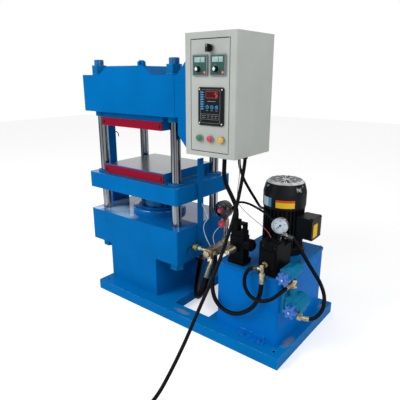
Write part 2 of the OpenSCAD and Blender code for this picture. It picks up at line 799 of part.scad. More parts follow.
module press_timer() color(black) translate([timer_mid, cab_y, timer_z]) union() {
    rotate([90, 0, 0]) linear_extrude(timer_t) round_plan(timer_w, timer_h, 8);
    translate([-timer_w / 2 + 5, -1, -timer_h / 2 + 5]) cube([timer_w - 10, 56, timer_h - 10]);
}

// Collars and contact blocks of the push buttons, and the body of the main switch
module switch_bodies() color("#b9bcbe") {
    for (i = [-1, 0, 1])
        translate([button_mid + i * button_pitch, cab_y, button_z]) difference() {
            union() {
                bar_y([0, -7, 0], collar_d, 7);
                bar_y([0, -1, 0], neck_d, 20);
                translate([-15, 18, -18]) cube([30, 34, 36]);
            }
            bar_y([0, -8, 0], cap_d + 0.6, 6.5);
            bar_y([0, -2.5, 0], stem_d + 2 * run_gap, 31.5);
        }
    translate([power_mid, cab_y, power_z]) difference() {
        union() {
            bar_y([0, -4, 0], 34, 4);
            bar_y([0, -1, 0], neck_d, 20);
            translate([-18, 18, -18]) cube([36, 34, 36]);
        }
        bar_y([0, -5, 0], 8 + 2 * run_gap, 24);
    }
}

// Push button: domed cap on a stem that slides in its collar
module push_button(i) translate([button_mid + i * button_pitch, cab_y, button_z]) rotate([-90, 0, 0])
    rotate_extrude() polygon([
        [0, -13.5],
        [cap_d / 2 - 5, -13],
        [cap_d / 2 - 1.5, -12],
        [cap_d / 2, -10],
        [cap_d / 2, -button_travel - 2],
        [stem_d / 2, -button_travel - 2],
        [stem_d / 2, 22],
        [0, 22]]);

module start_button() color("#1f7a4d") push_button(-1);

module stop_button() color("#c22238") push_button(0);

module open_button() color("#d9a514") push_button(1);

// Round base with a wing grip
module power_knob() color(black) translate([power_mid, cab_y, power_z]) union() {
    bar_y([0, -12, 0], 27, 7.7);
    translate([-5, -24, -13]) cube([10, 13, 26]);
    bar_y([0, -5, 0], 8, 22);
}

// Round setting knob with a skirt and finger flutes, bored for its spindle
module setting_knob(sx) translate([meter_mid + sx * meter_pitch / 2 - 7, cab_y - bezel_t - 0.3, meter_z - 13])
    difference() {
        union() {
            bar_y([0, -4, 0], setting_d + 4, 4);
            bar_y([0, -13, 0], setting_d, 9.5);
        }
        bar_y([0, -7, 0], 6 + 2 * run_gap, 8);
        for (a = [0:30:330])
            rotate([0, a, 0]) bar_y([setting_d / 2 + 0.6, -14, 0], 2.4, 9);
    }

module left_setting_knob() color(black) setting_knob(-1);

module right_setting_knob() color(black) setting_knob(1);

// Open sheet tank on the skid, with foot angles front and back
module oil_tank() color(blue) union() {
    difference() {
        tank_form(0, rail_h, tank_top, 12);
        tank_form(tank_wall, rail_h + tank_wall, tank_top + 1, 12 - tank_wall);
    }
    for (foot = [[tank_y - 25, tank_y - 4], [tank_y + tank_d - 1, tank_y + tank_d]])
        difference() {
            union() {
                slab([foot_x, foot[0], rail_h], [foot_x + foot_l, foot[0] + 26, rail_h + 4]);
                slab([foot_x, foot[1], rail_h], [foot_x + foot_l, foot[1] + 5, rail_h + 26]);
            }
            for (x = [foot_x + 22, foot_x + foot_l - 22])
                bar_z([x, foot[0] + 11, rail_h - 1], 9, 6);
        }
}
foot_x = motor_x - 22;

// Box of the tank's plan with round upright edges, drawn in by the given amount
module tank_form(inset, z0, z1, r) {
    translate([motor_x, tank_y + tank_d / 2, z0]) linear_extrude(z1 - z0)
        round_plan(tank_w - 2 * inset, tank_d - 2 * inset, r);
}

// Lid plate with the opening for the pump
module tank_lid() color(blue) difference() {
    tank_form(-lid_over, tank_top, lid_top, 12 + lid_over);
    bar_z([motor_x, motor_y, tank_top - 1], pump_w + 1, lid_h + 2);
}

// Flange motor: flange, two end shields, finned core, hollow for the rotor
module motor_frame() color(black) translate([motor_x, motor_y, lid_top]) difference() {
    top = fan_cover_z - lid_top + 5;
    shield_d = fan_cover_d - 2 * cover_wall - 2 * run_gap;
    fin_l = (shield_d - motor_core_d) / 2 - 2;
    union() {
        cylinder(d = motor_flange_d, h = 14);
        cylinder(d = shield_d, h = 14 + shield_h);
        cylinder(d = motor_core_d, h = top);
        translate([0, 0, top - 15]) cylinder(d = shield_d, h = 15);
        for (i = [0:fin_count - 1])
            rotate([0, 0, 360 * i / fin_count])
                translate([motor_core_d / 2 - 2, -1.75, 14]) cube([fin_l + 2, 3.5, top - 16]);
        translate([0, -box_w / 2 + 7, box_z + 5]) cube([box_seat, box_w - 14, box_h - 10]);
    }
    translate([box_seat, -box_w / 2 - 0.5, box_z - 0.5]) cube([20, box_w + 1, box_h + 1]);
    translate([0, 0, -1]) cylinder(d = shaft_d + 2 * run_gap, h = motor_h);
    translate([0, 0, 14 + shield_h]) cylinder(d = rotor_d + 6, h = top - 15 - 14 - shield_h);
    translate([0, 0, -1]) cylinder(d = spigot_d, h = 9);
}

// Shaft with the rotor's core and the six blades of the fan
module motor_rotor() color("#8f9296") translate([motor_x, motor_y, lid_top]) union() {
    top = fan_cover_z - lid_top + 5;
    core_z = 14 + shield_h + 8;
    translate([0, 0, -shaft_tail]) cylinder(d = shaft_d, h = top + shaft_tail + shaft_end);
    translate([0, 0, core_z]) cylinder(d = rotor_d, h = top - 15 - 8 - core_z);
    translate([0, 0, top + 12]) cylinder(d = fan_hub_d, h = fan_h);
    translate([0, 0, top + 12]) cylinder(d = fan_d, h = 3);
    for (a = [0:60:300])
        rotate([0, 0, a]) translate([fan_hub_d / 2 - 3, -2, top + 14])
            cube([(fan_d - fan_hub_d) / 2 + 3, 4, fan_h - 4]);
}

// Pressed cover with a tapered shoulder and two rings of radial slots in its top
module fan_cover() color(black) translate([motor_x, motor_y, fan_cover_z]) difference() {
    h = fan_cover_h;
    r = fan_cover_d / 2;
    w = cover_wall;
    rotate_extrude($fn = 96) polygon([
        [r, 0], [r, h - shoulder_h], [r - 7, h - 22], [r - 12, h - 9], [r - shoulder_in, h], [0, h],
        [0, h - w], [r - shoulder_in, h - w], [r - 12 - w, h - 10], [r - 7 - w, h - 22],
        [r - w, h - shoulder_h], [r - w, 0]]);
    for (i = [0:27])
        rotate([0, 0, 360 * i / 28]) translate([45, -2, h - w - 1]) cube([22, 4, w + 2]);
    for (i = [0:13])
        rotate([0, 0, 360 * i / 14]) translate([19, -2, h - w - 1]) cube([20, 4, w + 2]);
}

// Cast box with a lid on the motor's right, with a cable inlet and a plugged one at the back
module terminal_box() color(black) translate([motor_x + box_seat, motor_y, lid_top + box_z]) union() {
    translate([0, -box_w / 2, 0]) cube([box_t, box_w, box_h]);
    translate([box_t - 1, 0, box_h / 2]) rotate([90, 0, 90])
        linear_extrude(15) cut_plan(box_w + 6, box_h + 6, 9);
    for (z = [26, 54])
        bar_y([34, box_w / 2 - 1, z], 18, 3);
}

// Submerged pump under the lid: adapter, body and suction strainer
module gear_pump() color("#8a8d90") difference() {
    union() {
        bar_z([motor_x, motor_y, tank_top - 10], pump_w, lid_h + 10);
        translate([motor_x - pump_w / 2, motor_y - pump_w / 2, tank_top - pump_h])
            cube([pump_w, pump_w, pump_h - 9]);
        bar_z([motor_x, motor_y, rail_h + tank_wall + 15], 56, tank_h - pump_h - 10);
    }
    bar_z([motor_x, motor_y, tank_top - 60], shaft_d + 2 * run_gap, lid_h + 70);
}

// Directional valve: foot, body, port boss in front, solenoid on its right and, on top, the cable connector
// with a bridge to a post
module directional_valve() color(black) union() {
    translate([valve_x, valve_y, lid_top]) {
        translate([-6, -4, 0]) cube([valve_w + 12, valve_depth + 10, 22]);
        translate([0, 0, 21]) cube([valve_w, valve_depth, valve_h * 0.7]);
        translate([2, 4, 60]) cube([valve_w - 4, valve_depth - 8, valve_h - 60]);
        translate([0, 8, valve_h - 1]) cube([30, 30, 43]);
        translate([28, 12, valve_h + 25]) cube([valve_w - 30, 22, 10]);
        translate([valve_w - 14, 12, valve_h - 1]) cube([12, 22, 36]);
        bar_x([valve_w - 1, 22, 90], 50, 30);
        bar_x([valve_w + 28, 22, 90], 32, 10);
    }
    bar_y([boss_x, boss_y + 6, boss_z], 40, 14);
    bar_y([boss_x, boss_y, boss_z], 28, 8);
}

// Relief valve: tall front block with its cover and adjusting screw, and a lower pilot block that carries
// the gauge and a cable connector
module relief_valve() color(black) union() {
    difference() {
        union() {
            translate([relief_x, relief_y, lid_top]) cube([relief_w, relief_depth, relief_top - lid_top]);
            translate([relief_x + 6, relief_y - 5, lid_top + 30])
                cube([relief_w - 12, 6, relief_top - lid_top - 62]);
        }
        for (x = [13, relief_w - 13])
            bar_y([relief_x + x, relief_y - 1, relief_top - 15], 11, 9);
        bar_z([relief_x + relief_w - 16, relief_y + 18, relief_top - 8], 11, 9);
    }
    translate([relief_x + 3, relief_y + relief_depth - 1, lid_top])
        cube([relief_w - 6, 68, pilot_top - lid_top]);
    translate([relief_x + 3, relief_y + 98, pilot_top - 1]) cube([21, 26, 37]);
    hex_z([relief_x + 22, relief_y + 30, relief_top - 1], 22, 10);
    bar_z([relief_x + 22, relief_y + 30, relief_top + 8], 10, 10);
}

// Round gauge case that faces -Y before it is turned: wall, back and spindle
module round_case(d, depth, bezel, tip) {
    rotate([90, 0, 0]) rotate_extrude() polygon([
        [0, -depth],
        [d / 2 - 6, -depth],
        [d / 2 - 2, -depth + 4],
        [d / 2 - 2, -bezel - 2],
        [d / 2, -bezel],
        [d / 2, 0],
        [d / 2 - 4, 0],
        [d / 2 - 4, -bezel],
        [2, -bezel],
        [2, tip],
        [0, tip]]);
}

// Tapered pointer on its hub, in the plane of the dial
module pointer(l, depth) difference() {
    union() {
        bar_y([0, depth - 1.6, 0], 9, 2);
        rotate([90, 0, 0]) translate([0, 0, -depth]) linear_extrude(1.2) polygon([
            [-2, -l * 0.35],
            [2, -l * 0.35],
            [1.8, 0],
            [0.4, l],
            [-0.4, l],
            [-1.8, 0]]);
    }
    bar_y([0, -20, 0], 4 + 2 * run_gap, 40);
}

// Places a thing at the pressure gauge, turned to the right
module at_gauge() {
    translate(gauge) rotate([0, 0, gauge_turn]) translate([0, -gauge_depth / 2, 0]) children();
}

module gauge_case() color(steel) union() {
    at_gauge() round_case(gauge_d, gauge_depth, 9, -2);
    bar_z([gauge.x, gauge.y, pilot_top], 14, relief_top + 20 - pilot_top);
    hex_z([gauge.x, gauge.y, pilot_top], 22, 12);
    bar_x([gauge.x, gauge.y, relief_top + 8], 16, 38);
    translate([gauge.x + 18, gauge.y, relief_top + 8]) rotate([0, 90, 0]) cylinder(d = 25, h = 9, $fn = 6);
}

module gauge_needle() color(black) at_gauge() rotate([0, -135, 0]) pointer(gauge_d / 2 - 11, 6);

module contact_gauge() color(black) union() {
    translate(contact) round_case(contact_d, contact_depth, 11, 2);
    bar_z([contact.x, stand_y, shutoff_z + 18], 13, 16);
    hex_z([contact.x, stand_y, shutoff_z + 18], 20, 8);
    translate([contact.x + contact_d / 2 - 8, contact.y + 6, contact.z - 6]) cube([11, 24, 26]);
}

module contact_needle() color("#d0d0d0")
    translate(contact) rotate([0, -135, 0]) pointer(contact_d / 2 - 16, 9);

// Setting knob in the middle of the contact gauge, on the same spindle
module contact_knob() color(red) translate(contact) difference() {
    union() {
        bar_y([0, -22, 0], 22, 24);
        bar_y([0, -28, 0], 16, 7);
    }
    bar_y([0, -3, 0], 4 + 2 * run_gap, 20);
}

// Cast valve on the lid's corner and cast valve on the tank's side, each with a bonnet towards the front
module hand_valves() color(teal) {
    difference() {
        union() {
            slab([tank_right - 18, tank_y + 6, lid_top], [tank_right + lid_over, tank_y + 140, lid_top + 10]);
            slab([tank_right - 15, tank_y + 14, lid_top + 9], [tank_right + 13, tank_y + 124, lid_top + 22]);
            slab([tank_right - 11, tank_y + 24, lid_top + 21],
                [upper_wheel.x + 10, tank_y + 104, lid_top + 36]);
            bar_y([upper_wheel.x, tank_y + 12, upper_wheel.z], 42, 100);
            bar_y([upper_wheel.x, tank_y + 34, upper_wheel.z], 50, 12);
            bar_y([upper_wheel.x, tank_y - 2, upper_wheel.z], 30, 16);
            bar_y([upper_wheel.x, upper_wheel.y - wheel_t / 2 - 3, upper_wheel.z], 10, 30);
        }
        for (y = [tank_y + 64, tank_y + 132])
            bar_z([tank_right - 4, y, lid_top - 1], 9, 50);
    }
    union() {
        slab([tank_right, tank_y + 18, tank_top - 136], [tank_right + 14, tank_y + 105, tank_top - 26]);
        slab([tank_right + 12, tank_y + 26, tank_top - 124],
            [lower_wheel.x + 18, tank_y + 94, tank_top - 62]);
        bar_y([lower_wheel.x - 6, tank_y + 18, lower_wheel.z], 66, 84);
        bar_y([lower_wheel.x, tank_y + 2, lower_wheel.z], 40, 20);
        bar_y([lower_wheel.x, lower_wheel.y - wheel_t / 2 - 3, lower_wheel.z], 10, 36);
        bar_z([riser.x, riser.y, riser.z - 50], 36, 50);
        bar_x([lower_wheel.x, outlet.y, outlet.z], 24, outlet.x - lower_wheel.x + 1);
    }
}

// Lobed handwheel on a stem along Y
module handwheel(p) translate(p) rotate([90, 0, 0]) translate([0, 0, -wheel_t / 2]) difference() {
    union() {
        cylinder(d = wheel_d * 0.62, h = wheel_t);
        for (a = [0:60:300])
            rotate([0, 0, a]) translate([wheel_d * 0.36, 0, 0]) cylinder(d = wheel_d * 0.28, h = wheel_t);
    }
    translate([0, 0, -1]) cylinder(d = 10 + 2 * run_gap, h = wheel_t + 2);
    for (a = [30:60:330])
        rotate([0, 0, a]) translate([wheel_d * 0.47, 0, -1]) cylinder(d = wheel_d * 0.3, h = wheel_t + 2);
}

module upper_handwheel() color("#1560bd") handwheel(upper_wheel);

module lower_handwheel() color("#1560bd") handwheel(lower_wheel);

// Round knob of the shut-off valve, bored for its stem
module shutoff_knob() color(red) difference() {
    union() {
        bar_y([manifold_x, stand_y - 32, shutoff_z], shutoff_d, 12);
        bar_y([manifold_x, stand_y - 21, shutoff_z], 18, 6);
    }
    bar_y([manifold_x, stand_y - 40, shutoff_z], 8 + 2 * run_gap, 30);
}

// Hexagonal bar along +Y from a point
module hex_y(p, af, l) {
    translate(p) rotate([-90, 0, 0]) cylinder(d = af / cos(30), h = l, $fn = 6);
}

// Hexagonal bar along +X from a point
module hex_x(p, af, l) {
    translate(p) rotate([0, 90, 0]) cylinder(d = af / cos(30), h = l, $fn = 6);
}

// Manifold with its ports and the pipe to the directional valve, the tee on the relief valve, and the
// fittings of the hoses
module brass_fittings() color(brass) {
    supply_z = manifold_z0 + 16;
    sensor = [right_x + 16, manifold_y0 + 9, manifold_z0 + 30];
    elbow = [boss_x, boss_y - 38, boss_z - 2];
    union() {
        slab([manifold_x - 20, manifold_y0, manifold_z0], [manifold_x + 20, manifold_y1, manifold_z1]);
        bar_x([right_x, supply_y, supply_z], 22, manifold_x - right_x - 19);
        hex_x([right_x, supply_y, supply_z], 31, 12);
        hex_y([manifold_x, manifold_y0 - 14, manifold_z0 + 22], 30, 15);
        bar_x(sensor, 16, manifold_x - sensor.x - 6);
        bar_z([manifold_x, stand_y, manifold_z1 - 1], 16, shutoff_z - manifold_z1);
        hex_z([manifold_x, stand_y, manifold_z1 - 1], 26, 15);
        slab([manifold_x - 14, stand_y - 14, shutoff_z - 18],
            [manifold_x + 14, stand_y + 14, shutoff_z + 18]);
        bar_y([manifold_x, stand_y - 36, shutoff_z], 8, 24);
        translate([manifold_x + 8, manifold_y0 + 37, manifold_z0 + 2]) rotate([150, 0, 0]) {
            cylinder(d = 24, h = 62);
            translate([0, 0, 14]) cylinder(d = 38, h = 14, $fn = 6);
            translate([0, 0, 44]) cylinder(d = 30, h = 18);
        }
        rod([manifold_x + 18, manifold_y0 + 53, manifold_z0 + 26], elbow, 15, 15);
        translate(elbow) sphere(d = 22);
        translate([boss_x, boss_y, boss_z]) rotate([90, 0, 0]) cylinder(d1 = 36, d2 = 19, h = 36);
    }
    union() {
        bar_y(tee - [0, 8, 0], 16, relief_y - tee.y + 3);
        hex_y([tee.x, relief_y - 14, tee.z], 22, 9);
        bar_z(tee - [0, 0, 40], 15, 48);
        hex_z(tee - [0, 0, 40], 20, 14);
        bar_x(tee - [22, 0, 14], 13, 22);
    }
    union() {
        bar_z(riser, 22, 35);
        hex_z(riser, 28, 10);
        bar_y([riser.x, tank_y + 17, riser.z + 22], 20, 56);
    }
    union() {
        bar_x(outlet, 18, 30);
        hex_x(outlet + [1, 0, 0], 26, 11);
    }
    at_port() union() {
        bar_x([port_reach - 23, 0, 0], 26, 23);
        bar_x([barrel_d / 2 - 1, 0, 0], 20, port_reach - barrel_d / 2 - 20);
    }
}

module hydraulic_hoses() color(black) {
    tube(smooth(ram_hose_route, 1), ram_hose_d, 12);
    tube(smooth(pressure_hose_route, 2), pressure_hose_d, 10);
    tube(smooth(elbow_hose_route, 2), return_hose_d, 10);
    tube(smooth(side_hose_route, 2), return_hose_d, 10);
}

module control_cables() color(black) {
    tube(smooth(valve_cable_route, 2), valve_cable_d, 8);
    tube(smooth(motor_cable_route, 2), 12, 8);
    tube(smooth(gauge_cable_route, 2), 10, 8);
}

module sensor_wires() color("#d5dde0") {
    tube(smooth(bar_wire_route, 3), 3, 8);
    tube(smooth(capillary_route, 3), 3, 8);
    tube(smooth(gauge_wire_route, 4), 3, 8);
    tube(smooth(sensor_wire_route, 3), 3.5, 8);
}

module mains_lead() color(black) tube(smooth(lead_route, 3), lead_d, 10);

// Turns of the coil: in along the floor, up a layer in half a turn, and out again on top
function coil_rise(t) = min(max((t - coil_turns / 2) * 2 + 0.5, 0), 1);
function coil_point(t) = let (r = coil_r - coil_pitch * min(t, coil_turns - t), a = 180 + 360 * t)
    [coil_centre.x + r * cos(a), coil_centre.y + r * sin(a),
        lead_d / 2 + coil_layer * (0.5 - 0.5 * cos(180 * coil_rise(t)))];
coil_steps = 24;
coil_path = concat(
    [[coil_centre.x - coil_r, coil_centre.y, lead_d / 2]],
    [for (i = [0:coil_turns * coil_steps]) coil_point(i / coil_steps) - [0, lead_d, 0]],
    [[coil_centre.x + coil_r, coil_centre.y, lead_d / 2 + coil_layer]]);
coil_gap = min([
    for (i = [0:len(coil_path) - 1], k = [0:len(coil_path) - 1])
        if (k > i + coil_steps / 2) norm(coil_path[i] - coil_path[k])]) - lead_d;
echo(coil_gap = coil_gap);

module mains_coil() color(black) tube(coil_path, lead_d, 6);

// Round industrial plug that lies beside the coil: nut, body, skirt and pins
module mains_plug() color("#2b5fb0")
    translate([coil_centre.x + coil_r, coil_centre.y, lead_d / 2 + coil_layer]) union() {
        r = lead_d / 2 + coil_layer;
        rotate([-90, 0, 0]) rotate_extrude() polygon([
            [0, 0], [11, 0], [14, 4], [14, 24], [16, 28], [r - 3, 44], [r - 3, 84], [r, 86], [r, 94],
            [r - 3, 96], [r - 3, 124], [r - 5, 126], [r - 5, 98], [0, 98]]);
        for (a = [0:90:270])
            rotate([0, a, 0]) bar_y([9, 97, 0], 5, 24);
    }

skid_frame();
pedestal();
lower_beam();
cylinder_barrel();
gland_ring();
tie_columns();
column_nuts();
crosshead();
upper_insulation();
upper_platen();
upper_strips();
upper_heaters();
limit_bars();
cabinet_bracket();
ram();
table();
table_bushes();
lower_insulation();
lower_platen();
lower_strips();
lower_heaters();
cabinet_box();
electrical_panel();
hinge_pins();
cable_glands();
cabinet_door();
temperature_controllers();
press_timer();
switch_bodies();
start_button();
stop_button();
open_button();
power_knob();
left_setting_knob();
right_setting_knob();
oil_tank();
tank_lid();
motor_frame();
motor_rotor();
fan_cover();
terminal_box();
gear_pump();
directional_valve();
relief_valve();
gauge_case();
gauge_needle();
contact_gauge();
contact_needle();
contact_knob();
hand_valves();
upper_handwheel();
lower_handwheel();
shutoff_knob();
brass_fittings();
hydraulic_hoses();
control_cables();
sensor_wires();
mains_lead();
mains_coil();
mains_plug();
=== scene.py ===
import math

import bmesh
import bpy
from mathutils import Matrix, Vector


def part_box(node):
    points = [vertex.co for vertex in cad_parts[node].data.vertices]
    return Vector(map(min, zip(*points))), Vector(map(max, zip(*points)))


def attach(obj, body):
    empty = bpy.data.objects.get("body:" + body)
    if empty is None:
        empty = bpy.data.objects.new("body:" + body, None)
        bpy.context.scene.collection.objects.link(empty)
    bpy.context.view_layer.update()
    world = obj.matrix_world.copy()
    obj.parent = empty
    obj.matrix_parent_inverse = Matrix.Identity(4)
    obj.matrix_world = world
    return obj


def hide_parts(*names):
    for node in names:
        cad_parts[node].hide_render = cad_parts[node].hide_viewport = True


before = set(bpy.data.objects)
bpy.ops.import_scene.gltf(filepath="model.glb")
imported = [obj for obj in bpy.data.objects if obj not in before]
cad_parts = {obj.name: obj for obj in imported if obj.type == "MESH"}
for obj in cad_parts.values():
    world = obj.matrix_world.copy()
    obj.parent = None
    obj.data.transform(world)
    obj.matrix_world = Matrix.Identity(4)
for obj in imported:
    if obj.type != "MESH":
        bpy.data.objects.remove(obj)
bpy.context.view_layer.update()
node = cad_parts

# Camera: a hand-held shot from the right front, a little above the cabinet's middle,
# through the lens of a phone that is tilted down a little.


def put_in_scene(name, data):
    made = bpy.data.objects.new(name, data)
    bpy.context.collection.objects.link(made)
    return made


camera_data = bpy.data.cameras.new("camera")
camera_data.sensor_fit = "HORIZONTAL"
camera_data.sensor_width = 36.0
camera_data.lens = 37.53
camera = put_in_scene("camera", camera_data)
camera.location = (1.137, -1.511, 1.093)
camera.rotation_euler = (math.radians(73.3), 0, math.radians(38.4))
bpy.context.scene.camera = camera

# Studio: a pale floor that fades into a white surround, one broad lamp from the left front,
# a weaker one from the right, and four dark cards that only polished metal mirrors.
bpy.context.scene.view_settings.view_transform = "Standard"
white = (1, 1, 1, 1)
surround_light = 0.54
floor_glow = 0.45


def ink(code):
    channels = [int(code[i:i + 2], 16) / 255 for i in (0, 2, 4)]
    return [c / 12.92 if c <= 0.04045 else ((c + 0.055) / 1.055) ** 2.4 for c in channels]


# An input is named, or numbered as in i0; a text is a colour code.
def feed(tree, made, **inputs):
    for key, value in inputs.items():
        slot = made.inputs[int(key[1:]) if key[1:].isdigit() else key.replace("_", " ")]
        if isinstance(value, bpy.types.NodeSocket):
            tree.links.new(value, slot)
        elif value is not None:
            slot.default_value = (*ink(value), 1) if isinstance(value, str) else value


def wire(tree, kind, settings=None, **inputs):
    made = tree.nodes.new("ShaderNode" + kind)
    for key, value in (settings or {}).items():
        setattr(made, key, value)
    feed(tree, made, **inputs)
    return made


def calc(tree, operation, a, b=0.0, c=0.0):
    return wire(tree, "Math", {"operation": operation}, i0=a, i1=b, i2=c).outputs[0]


def ramp(tree, value, low, high, start=0.0, end=1.0):
    made = wire(tree, "MapRange", Value=value, From_Min=low, From_Max=high, To_Min=start, To_Max=end)
    return made.outputs["Result"]


def seen_rays(tree):
    rays = wire(tree, "LightPath").outputs
    direct = calc(tree, "MAXIMUM", rays["Is Camera Ray"], rays["Is Transmission Ray"])
    return calc(tree, "MAXIMUM", direct, rays["Is Glossy Ray"])


world = bpy.data.worlds.new("studio")
world.use_nodes = True
bpy.context.scene.world = world
air = world.node_tree
air.nodes.clear()
surround = wire(air, "Background", Color=white, Strength=ramp(air, seen_rays(air), 0, 1, surround_light, 1.0))
wire(air, "OutputWorld", Surface=surround.outputs[0])


def lamp(name, place, aim, size, power):
    data = bpy.data.lights.new(name, "AREA")
    data.size = size
    data.energy = power
    made = put_in_scene(name, data)
    made.location = place
    made.rotation_euler = (Vector(aim) - Vector(place)).to_track_quat("-Z", "Y").to_euler()


lamp("left lamp", (-1.6, -2.6, 2.7), (-0.1, 0, 0.6), 1.8, 68)
lamp("right lamp", (2.1, -0.8, 1.7), (0.2, 0, 0.6), 1.4, 14)


def blank_finish(name):
    material = bpy.data.materials.new(name)
    material.use_nodes = True
    return material, material.node_tree, material.node_tree.nodes["Principled BSDF"]


def stage_sheet(name, corners, grey, roughness):
    mesh = bpy.data.meshes.new(name)
    mesh.from_pydata(corners, [], [range(len(corners))])
    sheet = put_in_scene(name, mesh)
    material, tree, shader = blank_finish(name)
    feed(tree, shader, Base_Color=(grey, grey, grey, 1), Roughness=roughness, Specular_IOR_Level=0.1)
    mesh.materials.append(material)
    return sheet, tree, shader


floor_corners = [(-9, -9, 0), (9, -9, 0), (9, 9, 0), (-9, 9, 0)]
floor_tree, floor_shader = stage_sheet("floor", floor_corners, 0.86, 0.9)[1:]
feed(floor_tree, floor_shader, Emission_Color=white,
     Emission_Strength=calc(floor_tree, "MULTIPLY", seen_rays(floor_tree), floor_glow))
for card_name, turn, near, half in [
        ("left card", -152, 2.2, 0.45), ("front card", -86, 1.7, 0.28), ("right card", 14, 1.9, 0.5),
        ("back card", 62, 1.9, 0.4)]:
    middle = Vector((math.cos(math.radians(turn)), math.sin(math.radians(turn)), 0)) * near
    along = Vector((-middle.y, middle.x, 0)).normalized() * half
    ends = [middle - along, middle + along]
    heights = (0.02, 0.02, 1.5, 1.5)
    card = stage_sheet(card_name, [(*p.xy, z) for p, z in zip(ends + ends[::-1], heights)], 0.05, 1.0)[0]
    card.visible_camera = card.visible_diffuse = card.visible_shadow = False

# Skid: two long tubes and four cross tubes, welded, sprayed with gloss blue enamel.
# Where boots and straps rub, the gloss is dulled to grey, and the pale blue lines along the edges are painted
# highlights.
skid_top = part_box("skid_frame")[1].z


def place_on(tree):
    return wire(tree, "TexCoord").outputs["Object"]


def axis(tree, vector, letter):
    return wire(tree, "SeparateXYZ", Vector=vector).outputs[letter]


def facing_up(tree):
    return axis(tree, wire(tree, "NewGeometry").outputs["Normal"], "Z")


def noise(tree, place, scale, detail=2.0, rough=0.5):
    made = wire(tree, "TexNoise", Vector=place, Scale=scale, Detail=detail, Roughness=rough)
    return made.outputs["Fac"]


def vec(tree, operation, a, b=(0, 0, 0), scale=1.0):
    made = wire(tree, "VectorMath", {"operation": operation}, i0=a, i1=b, i3=scale)
    return made.outputs["Value" if operation in ("DOT_PRODUCT", "LENGTH", "DISTANCE") else "Vector"]


def blend(tree, share, first, second):
    return wire(tree, "Mix", {"data_type": "RGBA"}, i0=share, i6=first, i7=second).outputs[2]


def tint(material, share, colour):
    base = material.node_tree.nodes["Principled BSDF"].inputs["Base Color"]
    tinted = blend(material.node_tree, share, base.links[0].from_socket, colour)
    material.node_tree.links.new(tinted, base)


def group_with(name, inputs, outputs=("Color", "Roughness", "Height")):
    kinds = {3: "NodeSocketVector", 4: "NodeSocketColor"}
    tree = bpy.data.node_groups.new(name, "ShaderNodeTree")
    for label, value in inputs.items():
        kind = kinds[len(value)] if isinstance(value, tuple) else "NodeSocketFloat"
        tree.interface.new_socket(label, in_out="INPUT", socket_type=kind).default_value = value
    for label in outputs:
        kind = "NodeSocketColor" if label == "Color" else "NodeSocketFloat"
        tree.interface.new_socket(label, in_out="OUTPUT", socket_type=kind)
    return tree, tree.nodes.new("NodeGroupInput").outputs, tree.nodes.new("NodeGroupOutput")


def effect(tree, group, **values):
    return wire(tree, "Group", {"node_tree": group}, **values).outputs


def sprayed_enamel():
    tree, given, out = group_with("sprayed enamel", {
        "Paint": (0, 0.2, 0.5, 1), "Under": (0.2, 0.17, 0.15, 1),
        "Edge Wear": 0.5, "Rub": 0.0, "Gloss": 0.25})
    place = place_on(tree)
    cloud = noise(tree, place, 5.0, 5.0)
    tone = vec(tree, "SCALE", given["Paint"], scale=ramp(tree, cloud, 0.3, 0.7, 0.9, 1.07))
    peel = noise(tree, place, 420.0)
    chip = noise(tree, place, 70.0, 6.0, 0.65)
    # Along the edges the under colour is laid on. On the blue paints it is pale blue, a painted highlight
    # there, while in rubs and chips it is worn paint.
    rounded = wire(tree, "Bevel", {"samples": 4}, Radius=0.0035).outputs["Normal"]
    turn = vec(tree, "DOT_PRODUCT", rounded, wire(tree, "NewGeometry").outputs["Normal"])
    edge = calc(tree, "MULTIPLY", ramp(tree, turn, 0.98, 0.80, 0.0, 0.42), given["Edge Wear"])
    wear_and_edge_light = calc(tree, "ADD", calc(tree, "ADD", edge, given["Rub"]), chip)
    bare = ramp(tree, wear_and_edge_light, 0.78, 0.84)
    matt = calc(tree, "MULTIPLY_ADD", cloud, 0.16, given["Gloss"])
    feed(tree, out, Color=blend(tree, bare, tone, given["Under"]),
         Roughness=calc(tree, "MULTIPLY_ADD", bare, 0.35, matt),
         Height=calc(tree, "ADD", calc(tree, "MULTIPLY", bare, -1.5), peel))
    return tree


enamel = sprayed_enamel()


def relief(tree, height, strength, distance, edge=0.0012):
    soft = wire(tree, "Bevel", {"samples": 4}, Radius=edge).outputs["Normal"]
    bump = wire(tree, "Bump", Strength=strength, Distance=distance, Height=height, Normal=soft)
    return bump.outputs["Normal"]


def coated(name, group, strength, distance, corner=0.0012, **values):
    material, tree, shader = blank_finish(name)
    coat = wire(tree, "Group", {"node_tree": group, "name": "coat"}, **values)
    feed(tree, shader, Base_Color=coat.outputs["Color"], Roughness=coat.outputs["Roughness"],
         Normal=relief(tree, coat.outputs["Height"], strength, distance, corner))
    return material


def set_on(material, **values):
    feed(material.node_tree, material.node_tree.nodes["Principled BSDF"], **values)


# The pale blue default under colour is a painted highlight where it lines the edges, and worn paint where it
# shows in rubs and chips.
def enamel_finish(name, paint, under="5f98bd", edge=0.6, gloss=0.22, shine=0.012, corner=0.002):
    material = coated(name, enamel, 0.12, 0.0006, corner,
                      Paint=paint, Under=under, Edge_Wear=edge, Gloss=gloss)
    set_on(material, Specular_IOR_Level=shine)
    return material


def rubbed_spot():
    tree, given, out = group_with(
        "rubbed spot", {"Place": (0.0, 0.0, 0.0), "Reach": 0.05, "Depth": 0.2}, ["Mask"])
    away = vec(tree, "DISTANCE", place_on(tree), given["Place"])
    feed(tree, out, Mask=ramp(tree, away, given["Reach"], 0.0, 0.0, given["Depth"]))
    return tree
